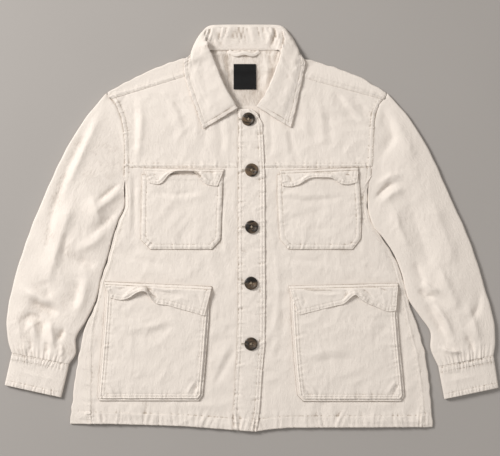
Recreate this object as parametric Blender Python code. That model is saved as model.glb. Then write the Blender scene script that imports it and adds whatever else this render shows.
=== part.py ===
"""A denim jacket laid flat on its back, buttoned, its sleeves down at its sides.

Sizes are in millimetres and become metres in wall(). +X is the viewer's right, +Y runs from the
hem to the collar, and +Z is up from the surface that the jacket lies on.
"""

import bmesh
import bpy
import numpy as np
from mathutils import Matrix, Vector

# Driving dimensions
METRE = 0.001
CLOTH = 1.2  # one layer of heavy twill
FOLDED_CLOTH = 1.6  # cuffs, whose cloth is double
COLLAR_CLOTH = 2.0  # two layers and what stiffens them
GAP = 0.45  # between neighbouring pieces
HIDDEN_GAP = 2.4  # between the back and the sleeves' undersides, which curve apart
FRONT_TOP = 5.0  # the front's upper face above the surface
LOWEST_FRONT = 3.1  # where a fold presses the front on the back
SLEEVE_LIFT = 1.1  # a sleeve's middle above the front
LOWEST_SLEEVE = 3.5
COLLAR_LIFT = 2.8  # how far the collar's hidden fall lifts the back's neck
YOKE_SEAM_Y = 150.0
CHEST_SEAM_Y = 112.0
ARMPIT_Y = 72.0
PLACKET_LIFT = 1.65  # the placket lies on the button band
NECK_SEAM_Y = 328.6  # the back's neck edge
POCKET_RISE = 3.4  # a hip pocket's face above its rim
POCKET_RIM = 4.5  # the walls around a hip pocket, seen from above
CHEST_FLAP_RISE = 1.9
LOWER_FLAP_RISE = 5.2
FLAP_GAP = 0.75  # under a flap's sewn edge
CUFF_TOP = 5.6
LABEL_CLOTH = 0.9
LABEL_GAP = 0.7  # between the label and the yoke
LOOP_CLOTH = 1.4
LOOP_WIDTH = 6.4
BUTTON_GAP = 0.4  # between a button and the placket
BUTTON_WIDTH = 24.5
BUTTON_THICKNESS = 3.6
BUTTON_HOLE = 2.2
HOLE_SPREAD = 3.0  # from the button's centre to a hole's
SLEEVE_RINGS = 15
RING_TOP = 11
RING_UNDER = 6
RING_ROUND = 3

# The body's sides from armpit to hem: its outline, and the side seams on its face
SIDE_COLUMNS = ("y", "outline_left", "seam_left", "seam_right", "outline_right")
SIDE_ROWS = (
    (72, -235.5, -229.0, 207.0, 215.0),
    (40, -233.5, -227.0, 206.0, 214.0),
    (12, -246.5, -238.0, 211.0, 220.5),
    (-25, -258.5, -249.0, 236.0, 246.0),
    (-60, -266.5, -257.0, 258.0, 268.0),
    (-100, -280.5, -271.0, 270.0, 281.5),
    (-140, -287.5, -283.0, 279.0, 291.5),
    (-185, -309.0, -291.0, 288.0, 308.0),
    (-230, -319.0, -295.0, 300.0, 321.0),
    (-290, -328.5, -296.0, 309.0, 329.0),
    (-340, -334.0, -296.0, 313.0, 333.5),
    (-372, -336.5, -296.5, 314.0, 335.5),
)

# Plan curves, as points from the shoulder downwards or from left to right
ARMHOLE_LEFT = (
    (-270, 249), (-254, 231), (-243, 205), (-237.5, 173), (-236, 126), (-237, 96), (-242, 74),
)
ARMHOLE_RIGHT = (
    (252, 249), (240, 235), (230, 210), (226.5, 175), (225, 131), (221.5, 98), (219, 60),
)
SLEEVE_LEFT_OUTER = (
    (-270, 249), (-305, 207), (-342, 148), (-384, 59), (-419, -30), (-445, -119), (-453.5, -178),
    (-450, -212), (-444, -231),
)
SLEEVE_LEFT_INNER = (
    (-242, 74), (-237.5, 42), (-252, 12), (-264.5, -20), (-268, -50), (-285, -80), (-290, -134),
    (-307, -172), (-325, -204), (-326, -234), (-337, -251),
)
SLEEVE_RIGHT_OUTER = (
    (252, 249), (287, 210), (326, 148), (367, 59), (406, -30), (434, -119), (449, -176),
    (451, -212), (448, -235),
)
SLEEVE_RIGHT_INNER = (
    (219, 60), (217.5, 30), (234, 3), (250, -20), (270, -50), (284, -82), (294, -133),
    (311, -163), (331, -194), (331, -222), (345, -255.5),
)
CUFF_LEFT = ((-444, -232), (-457, -290), (-352, -313), (-337.5, -252))
CUFF_RIGHT = ((448, -236), (457, -295), (356.5, -316), (345.5, -256.5))
SHOULDER_FOLD = (
    (-270, 249), (-237, 268), (-195, 289), (-153, 306), (-126, 314), (-112, 315), (-84, 324), (-12, 328),
    (58, 324), (86, 315), (102, 312), (110, 311), (152, 298), (203, 279), (252, 249),
)
FORWARD_SEAM = ((-262, 238), (-86, 292), (65, 287), (243, 238))
NECK_LEFT = ((-25.5, 220), (-40, 224), (-57, 240), (-73, 266), (-86, 291.5))
NECK_RIGHT = ((15.7, 221), (23, 226), (38, 238), (54, 259), (65, 286.5))
HEM = (
    (-337, -362), (-262, -362), (-131, -366), (-36, -373), (9, -376), (26, -373), (67, -369), (336, -368),
)
PLACKET_LEFT = ((-34.5, -376), (-33, -325), (-27, -230), (-25, -165), (-25, 220))
PLACKET_RIGHT = (
    (9, -376), (15, -335), (19, -272), (24, -219), (25, -145), (24, 105), (20, 193), (10, 212), (1, 220),
)
BAND_RIGHT = ((0, -376), (8, -300), (15.7, -200), (15.7, 200))

# The collar, a station a row: neck seam, roll, the fold to the underside, and the outer edge.
# rise is half the roll's height, and under is 1 where the fall lies below the back.
COLLAR_COLUMNS = (
    "neck_x", "neck_y", "roll_x", "roll_y", "turn_x", "turn_y", "edge_x", "edge_y", "rise", "under",
)
COLLAR_LEFT_ROWS = (
    (-31, 225, -27, 221, -58, 202, -89, 184, 2.0, 0),
    (-44, 233, -38, 238, -68, 221, -98, 207, 2.6, 0),
    (-56, 243, -49, 257, -78, 241, -107, 233, 2.9, 0),
    (-66, 258, -58, 277, -88, 262, -115, 257, 3.0, 0),
    (-76, 276, -67, 300, -97, 285, -122, 281, 3.0, 0),
    (-82, 290, -75, 319, -103, 301, -124, 299, 3.0, 0),
    (-83, 302, -79, 329, -105, 313, -124, 314, 3.0, 0),
    (-83, 311, -82, 338, -108, 326, -119.5, 322, 3.0, 0.5),
    (-82, 320, -86, 350, -104, 343, -105, 315, 2.2, 1),
    (-79, 329, -86, 362, -92, 361, -88, 308, 1.0, 1),
    (-70, 329.5, -76, 364, -78, 373, -68, 303, 0, 1),
    (-50, 329.5, -51, 368, -51, 375, -48, 299, 0, 1),
)
COLLAR_MIDDLE_ROW = (-14, 329.5, -14, 368, -14, 375, -14, 297, 0, 1)
COLLAR_RIGHT_ROWS = (
    (20, 329.5, 23, 368, 23, 375, 20, 299, 0, 1),
    (42, 329.5, 50, 364, 54, 373, 44, 302, 0, 1),
    (52, 329, 60, 360, 68, 360, 62, 308, 1.0, 1),
    (56, 320, 60, 348, 79, 343, 79, 315, 2.2, 1),
    (57, 311, 58, 336, 84, 326, 94.5, 322, 3.0, 0.5),
    (58, 302, 56, 326, 81, 312, 98.5, 314, 3.0, 0),
    (59, 290, 54, 316, 79, 300, 98, 298, 3.0, 0),
    (55, 276, 48, 298, 75, 283, 94, 279, 3.0, 0),
    (46, 258, 40, 275, 68, 261, 89, 257, 3.0, 0),
    (37, 245, 31, 255, 60, 241, 84, 234, 2.9, 0),
    (26, 233, 21, 238, 52, 221, 78, 209, 2.6, 0),
    (17, 227, 11, 224, 43, 204, 72, 186.5, 2.0, 0),
)

# Where a front's columns stand between its outer edge and the placket: close beside the armhole
LEFT_COLUMNS = (0, 0.045, 0.095, 0.145, 0.22, 0.34, 0.46, 0.58, 0.7, 0.8, 0.87, 0.93, 1)
RIGHT_COLUMNS = tuple(1 - share for share in reversed(LEFT_COLUMNS))
# And its rows above the chest seam, one of them at the neckline's corner
CHEST_SHARES = (0, 0.11, 0.22, 0.33, 0.43, 0.534, 0.65, 0.77, 0.885, 1)

# Folds of the two fronts and of the sleeves: a line, half the width across it, and the height
FOLD_COLUMNS = ("x0", "y0", "x1", "y1", "width", "height")
FRONT_FOLDS = (
    (-216, 226, -216, 132, 9, -1.9),
    (-200, 224, -204, 140, 10, 2.6),
    (-160, 246, -124, 160, 15, 2.2),
    (-140, 240, -112, 190, 11, -1.6),
    (-216, 95, -216, -15, 7, -1.8),
    (-225, 90, -226, -30, 6, 2.2),
    (-240, -70, -150, -84, 14, 1.6),
    (-294, -130, -295, -330, 8, 1.6),
    (-44, -200, -62, -300, 9, -1.6),
    (-56, -205, -72, -300, 9, 1.6),
    (152, 246, 200, 186, 9, -1.7),
    (166, 246, 208, 200, 10, 2.2),
    (72, 180, 84, 128, 9, -1.4),
    (110, 230, 116, 150, 14, 2.0),
    (143, 214, 148, 158, 9, -1.5),
    (246, -20, 262, -95, 7, -1.6),
    (60, -70, 220, -84, 14, 1.4),
    (292, -180, 300, -330, 9, 1.4),
)
SLEEVE_FOLDS = (
    (-291, 204, -350, 78, 12, -1.8),
    (-306, 190, -372, 60, 12, 1.6),
    (-330, 52, -370, -82, 18, 2.8),
    (-342, -5, -349, -60, 14, -1.8),
    (-280, 68, -262, 40, 10, -1.8),
    (-290, 40, -276, -10, 14, 2.4),
    (-300, -60, -330, -160, 16, 1.8),
    (-398, -143, -362, -156, 9, 2.2),
    (-423, -178, -400, -200, 10, -1.8),
    (-340, -190, -350, -215, 9, -1.8),
    (-410, -190, -402, -226, 9, 1.8),
    (239, 229, 262, 160, 9, -1.6),
    (262, 210, 300, 130, 18, 2.4),
    (229, 56, 272, 82, 9, -1.9),
    (240, 84, 286, 108, 13, 2.2),
    (290, 50, 335, -80, 18, -1.8),
    (320, 60, 372, -70, 18, 2.4),
    (345, -60, 382, -150, 16, 1.8),
    (322, -141, 354, -205, 9, -1.8),
    (347, -222, 390, -228, 8, 2.4),
    (400, -150, 420, -215, 14, 1.6),
)

# The patch pockets: plan outlines row by row from mouth to bottom, and their flaps' lower edges
POCKET_COLUMNS = ("y", "left", "right")
CHEST_POCKET_LEFT = (
    (99, -203, -53), (60, -204, -54), (20, -204.5, -55.5), (-22, -205, -57), (-39.5, -187, -73),
)
CHEST_POCKET_RIGHT = ((99, 47, 198), (60, 47, 201), (20, 49, 203), (-20, 52, 202), (-39.5, 68, 187))
LOWER_POCKET_LEFT = (
    (-114, -270, -77), (-164, -273, -78), (-215, -277, -82), (-265, -281, -86), (-310, -285, -90),
    (-319.5, -281, -97),
)
LOWER_POCKET_RIGHT = (
    (-114, 71, 269), (-164, 73, 270), (-215, 76, 274), (-265, 80, 279), (-310, 85, 283), (-320.5, 95, 276),
)
FLAP_COLUMNS = ("x", "y", "curl")
CHEST_FLAP_LEFT = (
    (-188, 83, 0), (-168, 85, 1), (-150, 97, 4), (-135, 102, 7), (-118, 103, 8), (-103, 98, 5),
    (-88, 87, 2), (-64, 79, 0),
)
CHEST_FLAP_RIGHT = (
    (58, 80, 0), (75, 77, 0), (98, 85, 2), (115, 92, 4), (132, 93.5, 5), (150, 91, 4), (170, 82, 1),
    (196, 84, 0),
)
LOWER_FLAP_LEFT = (
    (-260, -127, 0), (-232, -132, 1), (-212, -121, 4), (-198, -117, 6), (-188, -122, 4),
    (-170, -142, 1), (-135, -152, 0), (-88, -162, 0),
)
LOWER_FLAP_RIGHT = (
    (86, -158, 0), (126, -150, 0), (162, -140, 1), (180, -129, 4), (192, -124, 5), (206, -132, 3),
    (230, -145, 1), (264, -154, 0),
)
BUTTON_CENTRES = ((-6, 201), (0, 107), (0, 2), (-1, -102), (-1, -214))
LABEL = (-33, 8, 257, 303)
LOOP_COLUMNS = ("x", "y", "top")  # its middle line, and its upper face above the yoke's inner one
LOOP_PATH = ((-42, 322, 1.4), (-30, 315, 3.0), (-14, 318, 4.8), (2, 315, 3.2), (14, 321, 1.4))


def smooth(knots, values, at):
    """A smooth curve through values at rising knots.

    Between two knots it is the cubic whose slopes there are taken from their neighbours.
    """
    knots = np.asarray(knots, float)
    values = np.asarray(values, float)
    slopes = np.gradient(values, knots, axis=0)
    at = np.clip(np.asarray(at, float), knots[0], knots[-1])
    first = np.clip(np.searchsorted(knots, at, side="right") - 1, 0, len(knots) - 2)
    span = knots[first + 1] - knots[first]
    part = (at - knots[first]) / span
    if values.ndim > 1:
        part, span = part[..., None], span[..., None]
    rest = 1 - part
    start = rest**2 * ((1 + 2 * part) * values[first] + part * span * slopes[first])
    end = part**2 * ((3 - 2 * part) * values[first + 1] - rest * span * slopes[first + 1])
    return start + end


def shares_of(points):
    """How far along its length each point of a line stands, from 0 to 1."""
    length = np.r_[0, np.cumsum(np.linalg.norm(np.diff(points, axis=0), axis=1))]
    return length / length[-1]


def along(points, at):
    """Points at these shares of the length of a smooth curve."""
    points = np.asarray(points, float)
    return smooth(shares_of(points), points, at)


def along_straight(points, at):
    """Points at these shares of the length of a line with corners."""
    points = np.asarray(points, float)
    shares = shares_of(points)
    return np.stack([np.interp(at, shares, points[:, i]) for i in range(2)], axis=1)


def column(rows, names, key, name, at):
    """One named column of a table, read at these values of its key column."""
    table = np.array(rows, float)
    keys = table[:, names.index(key)]
    order = np.argsort(keys)
    return np.interp(at, keys[order], table[order, names.index(name)])


def curve_y(points, x):
    points = np.asarray(points, float)
    return np.interp(x, points[:, 0], points[:, 1])


def curve_x(points, y):
    points = np.asarray(points, float)
    order = np.argsort(points[:, 1])
    return np.interp(y, points[order, 1], points[order, 0])


def step(low, high, value):
    part = np.clip((value - low) / (high - low), 0, 1)
    return part * part * (3 - 2 * part)


def folds(rows, x, y):
    """Troughs and ridges: a bell across each line, fading past its ends."""
    lift = np.zeros(np.broadcast(x, y).shape)
    for row in rows:
        fold = dict(zip(FOLD_COLUMNS, row))
        from_x, from_y = x - fold["x0"], y - fold["y0"]
        way_x, way_y = fold["x1"] - fold["x0"], fold["y1"] - fold["y0"]
        length = np.hypot(way_x, way_y)
        on = (from_x * way_x + from_y * way_y) / length
        across = (from_x * way_y - from_y * way_x) / length
        past = np.maximum(np.maximum(-on, on - length), 0)
        bell = -((across / fold["width"]) ** 2) - (past / (2 * fold["width"])) ** 2
        lift = lift + fold["height"] * np.exp(bell)
    return lift


def fall_edge_y(x):
    """The hidden lower edge of the collar's fall, behind the neck."""
    return 297 + 15 * ((x + 12) / 108) ** 2


def neck_lift(x, y):
    """How far the back is lifted near the neck, where the collar's fall lies under it."""
    fade = 1 - step(112, 138, np.abs(x + 12.5))
    return COLLAR_LIFT * fade * step(-17, -3, y - fall_edge_y(x))


def pocket_calm(x, y):
    """1 under the pockets and the placket, where the front lies plain, and 0 elsewhere."""
    calm = np.zeros(np.broadcast(x, y).shape)
    for left, right, low, high in (
        (-205, -53, -40, 112), (47, 203, -40, 112), (-286, -77, -321, -98), (70, 284, -322, -100),
        (-30, 28, -376, 220),
    ):
        away = np.maximum(np.maximum(left - x, x - right), np.maximum(low - y, y - high))
        calm = np.maximum(calm, 1 - step(1, 9, away))
    return calm


def front_top(x, y):
    """The upper face of the fronts."""
    fold = folds(FRONT_FOLDS, x, y) * (1 - pocket_calm(x, y))
    fold = fold * (1 - step(236, 250, y)) * step(-335, -325, y)
    return np.maximum(FRONT_TOP + fold, LOWEST_FRONT) + neck_lift(x, y)


def normals(points, closed):
    """Unit normals of a grid of points; the columns of a closed grid meet."""
    if closed:
        wrapped = np.concatenate([points[:, -2:-1], points, points[:, 1:2]], axis=1)
        down = np.gradient(wrapped, axis=0)[:, 1:-1]
        over = np.gradient(wrapped, axis=1)[:, 1:-1]
    else:
        down = np.gradient(points, axis=0)
        over = np.gradient(points, axis=1)
    normal = np.cross(down, over)
    return normal / np.linalg.norm(normal, axis=2, keepdims=True)


def material(name, colour, roughness):
    made = bpy.data.materials.new(name)
    made.use_nodes = True
    shader = made.node_tree.nodes["Principled BSDF"]
    shader.inputs["Base Color"].default_value = (*colour, 1)
    shader.inputs["Roughness"].default_value = roughness
    shader.inputs["Metallic"].default_value = 0
    return made


def finish_object(bm, name, finish):
    bmesh.ops.recalc_face_normals(bm, faces=bm.faces[:])
    mesh = bpy.data.meshes.new(name)
    bm.to_mesh(mesh)
    bm.free()
    mesh.materials.append(finish)
    made = bpy.data.objects.new(name, mesh)
    bpy.data.collections["denim_jacket"].objects.link(made)
    return made


def wall(name, outer, inner, finish, keep=None, closed=False):
    """Cloth between two grids of points.

    A grid of faces is laid on the outer points and extruded to the inner ones.
    """
    rows, columns = outer.shape[:2]
    bm = bmesh.new()
    bmesh.ops.create_grid(bm, x_segments=columns - 1, y_segments=rows - 1, size=1)
    place = bm.verts.layers.int.new("place")
    if keep is not None:
        dropped = []
        for face in bm.faces:
            middle = face.calc_center_median()
            row = int((middle.y + 1) / 2 * (rows - 1))
            column_at = int((middle.x + 1) / 2 * (columns - 1))
            if not keep[row, column_at]:
                dropped.append(face)
        bmesh.ops.delete(bm, geom=dropped, context="FACES")
    for vertex in bm.verts:
        row = round((vertex.co.y + 1) / 2 * (rows - 1))
        column_at = round((vertex.co.x + 1) / 2 * (columns - 1))
        vertex[place] = row * columns + column_at
        vertex.co = outer[row, column_at] * METRE
    if closed:
        bmesh.ops.remove_doubles(bm, verts=bm.verts[:], dist=1e-7)
    made = bmesh.ops.extrude_face_region(bm, geom=bm.faces[:])
    flat_inner = inner.reshape(-1, 3) * METRE
    for item in made["geom"]:
        if isinstance(item, bmesh.types.BMVert):
            item.co = flat_inner[item[place]]
    return finish_object(bm, name, finish)


def cloth(name, points, finish, thickness=CLOTH, keep=None, drop=False, side=1):
    """A wall whose outer face has these points: dropped straight down, or offset along the normals."""
    if drop:
        inner = points - np.array([0, 0, thickness])
    else:
        inner = points - side * thickness * normals(points, False)
    return wall(name, points, inner, finish, keep)


def with_height(x, y, z):
    return np.stack(np.broadcast_arrays(x, y, z), axis=-1).astype(float)


def panel(left, right, columns_at):
    """A grid between two edges, each a list of plan points, at the height of the cloth."""
    share = np.asarray(columns_at, float)[None, :, None]
    plan = (1 - share) * left[:, None] + share * right[:, None]
    return with_height(plan[..., 0], plan[..., 1], front_top(plan[..., 0], plan[..., 1]))


def back_body(finish):
    """The back from the yoke seam to the hem, its sides brought over the edges to the side seams."""
    armhole = np.array([YOKE_SEAM_Y - GAP, CHEST_SEAM_Y, 86])
    sides = np.array([ARMPIT_Y - 1, 40, 12, -25, -60, -100, -140, -185, -230, -290, -318, -340, -372])
    rows = np.r_[armhole, sides]
    count = len(rows)
    left = column(SIDE_ROWS, SIDE_COLUMNS, "y", "outline_left", rows)
    right = column(SIDE_ROWS, SIDE_COLUMNS, "y", "outline_right", rows)
    seam_left = column(SIDE_ROWS, SIDE_COLUMNS, "y", "seam_left", rows) - GAP
    seam_right = column(SIDE_ROWS, SIDE_COLUMNS, "y", "seam_right", rows) + GAP
    high = len(armhole)
    left[:high] = curve_x(ARMHOLE_LEFT, armhole) + HIDDEN_GAP
    right[:high] = curve_x(ARMHOLE_RIGHT, armhole) - HIDDEN_GAP
    seam_left[:high] = left[:high] + 8
    seam_right[:high] = right[:high] - 8
    radius = FRONT_TOP / 2
    turn = np.radians([60, 15, -30])  # around each edge, from its upper face to its lower one
    points = []
    for seam, edge, sign in ((seam_left, left, -1), (seam_right, right, 1)):
        middle = edge - sign * radius
        between = 0.45 * seam + 0.55 * middle
        ring = [(seam, front_top(seam, rows)), (between, front_top(between, rows))]
        for angle in turn:
            height = np.full(count, radius * (1 + np.sin(angle)))
            ring.append((middle + sign * radius * np.cos(angle), height))
        ring.append((middle, np.zeros(count)))
        points.append(ring)
    left_ring, right_ring = points
    floor = [(left + (right - left) * share, np.zeros(count)) for share in (0.12, 0.3, 0.5, 0.7, 0.88)]
    ring = left_ring + floor + right_ring[::-1]
    x = np.stack([part[0] for part in ring], axis=1)
    z = np.stack([part[1] for part in ring], axis=1)
    first, last = len(left_ring) - 1, len(ring) - len(right_ring)
    x[:high, first] = left[:high]
    x[:high, last] = right[:high]
    y = np.repeat(rows[:, None], len(ring), axis=1)
    y[-1] = curve_y(HEM, x[-1])
    keep = np.ones((count - 1, len(ring) - 1), bool)
    keep[:high, :first] = False
    keep[:high, last:] = False
    return cloth("back_body", with_height(x, y, z), finish, keep=keep, side=-1)


def back_yoke(finish):
    """The yoke: flat behind the neck, and brought forward over both shoulders to the forward seams."""
    fold = np.array(SHOULDER_FOLD, float)
    x = np.array([
        -264, -240, -210, -180, -152, -136, -118, -101, -86, -55, -25, 5,
        32, 60, 76, 92, 108, 124, 150, 178, 206, 228, 246.5,
    ])
    neck_left, neck_right = 8, 13  # the columns at the neck's two corners
    across = (x - x[0]) / (x[-1] - x[0])
    ridge = curve_y(fold, x)
    seam = curve_y(FORWARD_SEAM, x) + GAP
    radius = FRONT_TOP / 2
    rows = []
    for share in (0, 0.5, 1):
        y = seam + share * (ridge - radius - seam)
        at = np.clip(x, curve_x(ARMHOLE_LEFT, y) + GAP, curve_x(ARMHOLE_RIGHT, y) - GAP)
        rows.append((at, y, front_top(at, y)))
    for angle in np.radians([50, 0, -50]):
        height = neck_lift(x, ridge) + radius * (1 + np.sin(angle))
        rows.append((x, ridge - radius + radius * np.cos(angle), height))
    top = ridge - radius
    top[neck_left + 1 : neck_right] = NECK_SEAM_Y
    behind = np.minimum(fall_edge_y(x) - 3, top - 5)
    ramp = np.minimum(fall_edge_y(x) - 17, top - 19)
    lower = [ramp + (YOKE_SEAM_Y - ramp) * share for share in (0.4, 0.75, 1)]
    for y in (top, behind, ramp, *lower):
        low = curve_x(ARMHOLE_LEFT, y) + HIDDEN_GAP
        high = curve_x(ARMHOLE_RIGHT, y) - HIDDEN_GAP
        spread = low + across * (high - low)
        near = step(0.02, 0.2, across) * (1 - step(0.8, 0.98, across)) * (y > 262)
        at = near * x + (1 - near) * spread
        rows.append((at, y, neck_lift(at, y)))
    points = np.stack([with_height(*row) for row in rows])
    keep = np.ones((len(rows) - 1, len(x) - 1), bool)
    keep[:6, neck_left:neck_right] = False
    return cloth("back_yoke", points, finish, keep=keep, side=-1)


def fronts(finish):
    """The two chests above the chest seam and the two fronts below it."""
    share = np.array(CHEST_SHARES)
    chest_edge = [p for p in ARMHOLE_LEFT if p[1] > CHEST_SEAM_Y][::-1]
    left = along([(-236.3, CHEST_SEAM_Y), *chest_edge[:-1], (-261, 237.5)], share) + (GAP, 0)
    right = along_straight([(-25.5, CHEST_SEAM_Y), *NECK_LEFT], share)
    right[-1] = (-86, 291.5)
    cloth("front_chest_left", panel(left, right, LEFT_COLUMNS), finish, drop=True)
    chest_edge = [p for p in ARMHOLE_RIGHT if p[1] > CHEST_SEAM_Y][::-1]
    left = along_straight([(15.7, CHEST_SEAM_Y), *NECK_RIGHT], share)
    right = along([(222.9, CHEST_SEAM_Y), *chest_edge[:-1], (242.5, 237.5)], share) - (GAP, 0)
    cloth("front_chest_right", panel(left, right, RIGHT_COLUMNS), finish, drop=True)
    rows = np.array([
        CHEST_SEAM_Y - GAP, 92, ARMPIT_Y, 40, 12, -25, -42, -60, -80,
        -100, -140, -185, -230, -260, -290, -322, -340, -372,
    ])
    edge_x = column(SIDE_ROWS, SIDE_COLUMNS, "y", "seam_left", rows)
    edge_x[:2] = curve_x(ARMHOLE_LEFT, rows[:2]) + GAP
    placket = curve_x(PLACKET_LEFT, rows) - GAP
    left = np.stack([edge_x, rows], axis=1)
    right = np.stack([placket, rows], axis=1)
    points = panel(left, right, LEFT_COLUMNS)
    points[-1, :, 1] = curve_y(HEM, points[-1, :, 0])
    cloth("front_body_left", points, finish, drop=True)
    edge_x = column(SIDE_ROWS, SIDE_COLUMNS, "y", "seam_right", rows)
    edge_x[:2] = curve_x(ARMHOLE_RIGHT, rows[:2]) - GAP
    band = curve_x(BAND_RIGHT, rows)
    left = np.stack([band, rows], axis=1)
    right = np.stack([edge_x, rows], axis=1)
    points = panel(left, right, RIGHT_COLUMNS)
    points[-1, :, 1] = curve_y(HEM, points[-1, :, 0])
    cloth("front_body_right", points, finish, drop=True)


def closing(finish):
    """The placket on the left front and the button band under it."""
    rows = np.r_[np.linspace(-376, -230, 7), np.linspace(-190, 150, 10), 180, 200, 212, 219.5]
    left = curve_x(PLACKET_LEFT, rows)
    right = curve_x(PLACKET_RIGHT, rows)
    share = np.array([0, 0.12, 0.5, 1])
    x = left[:, None] + (right - left)[:, None] * share
    y = np.repeat(rows[:, None], len(share), axis=1)
    y[0] = curve_y(HEM, x[0])
    lift = PLACKET_LIFT * step(0, 0.12, share)
    cloth("placket", with_height(x, y, front_top(x, y) + lift), finish, drop=True)
    low = left + 8
    high = np.minimum(curve_x(BAND_RIGHT, rows) - GAP, right - 1)
    share = np.linspace(0, 1, 3)
    x = low[:, None] + (high - low)[:, None] * share
    cloth("button_band", with_height(x, y[:, :3], front_top(x, y[:, :3])), finish, drop=True)


def sleeve_top(s, v, x, y):
    """A sleeve's upper face: as high as the front at the armhole, rounder further down, with its folds."""
    middle = FRONT_TOP + SLEEVE_LIFT * step(0.05, 0.35, v) * (1 - 0.5 * step(0.9, 1, v))
    crown = (1 - np.abs(2 * s - 1) ** 4) * step(0, 0.1, v) * (1 - step(0.93, 1, v))
    return np.maximum(middle + folds(SLEEVE_FOLDS, x, y) * crown, LOWEST_SLEEVE)


def tube(name, plan, top, finish, thickness, side):
    """A flattened tube. plan holds the points across it, outer edge first, for each ring along it."""
    across = plan[:, -1] - plan[:, 0]
    across = across / np.linalg.norm(across, axis=1, keepdims=True)
    rings = []
    for ring, way, heights in zip(plan, across, top):
        first, last = heights[0] / 2, heights[-1] / 2
        angles = np.radians(np.linspace(-90, 90, RING_ROUND + 2)[1:-1])
        rise = [np.r_[ring[-1] - way * last * (1 - np.cos(a)), last * (1 + np.sin(a))] for a in angles]
        share = np.linspace(0, 1, len(ring))
        inset = ring + way * (first * (1 - share) - last * share)[:, None]
        lead = np.concatenate([inset, heights[:, None]], axis=1).tolist()
        below = np.linspace(0, 1, RING_UNDER)
        under = [[np.interp(t, share, inset[:, 0]), np.interp(t, share, inset[:, 1]), 0] for t in below]
        fall = [np.r_[ring[0] + way * first * (1 - np.cos(a)), first * (1 + np.sin(a))] for a in angles]
        rings.append(np.array([*under, *rise, *lead[::-1], *fall[::-1], under[0]]))
    outer = np.array(rings)
    inner = outer - side * thickness * normals(outer, True)
    resting = outer[..., 2] == 0
    inner[resting] = outer[resting] + (0, 0, thickness)
    return wall(name, outer, inner, finish, closed=True)


def sleeves(finish):
    for side, turn, armhole, outer, inner in (
        ("left", -1, ARMHOLE_LEFT, SLEEVE_LEFT_OUTER, SLEEVE_LEFT_INNER),
        ("right", 1, ARMHOLE_RIGHT, SLEEVE_RIGHT_OUTER, SLEEVE_RIGHT_INNER),
    ):
        v = np.linspace(0, 1, SLEEVE_RINGS)
        s = np.linspace(0, 1, RING_TOP)
        inner_edge, outer_edge = along(inner, v)[:, None], along(outer, v)[:, None]
        straight = outer_edge + (inner_edge - outer_edge) * s[None, :, None]
        hole = along(armhole, s)
        bend = hole - hole[0] - (hole[-1] - hole[0]) * s[:, None]
        near = np.clip(1 - v / 0.4, 0, 1) ** 2
        plan = straight + near[:, None, None] * bend
        top = sleeve_top(s[None], v[:, None], plan[..., 0], plan[..., 1])
        tube(f"sleeve_{side}", plan, top, finish, CLOTH, turn)


def cuffs(finish):
    for side, turn, corners in (("left", -1, CUFF_LEFT), ("right", 1, CUFF_RIGHT)):
        top_out, low_out, low_in, top_in = np.array(corners, float)
        down = np.linspace(0, 1, 4)[:, None]
        outer = top_out + (low_out - top_out) * down
        inner = top_in + (low_in - top_in) * down
        s = np.linspace(0, 1, 8)[None, :, None]
        plan = (1 - s) * outer[:, None] + s * inner[:, None]
        top = np.full(plan.shape[:2], CUFF_TOP)
        top[:, 1:-1] += 0.5
        tube(f"cuff_{side}", plan, top, finish, FOLDED_CLOTH, turn)


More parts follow.
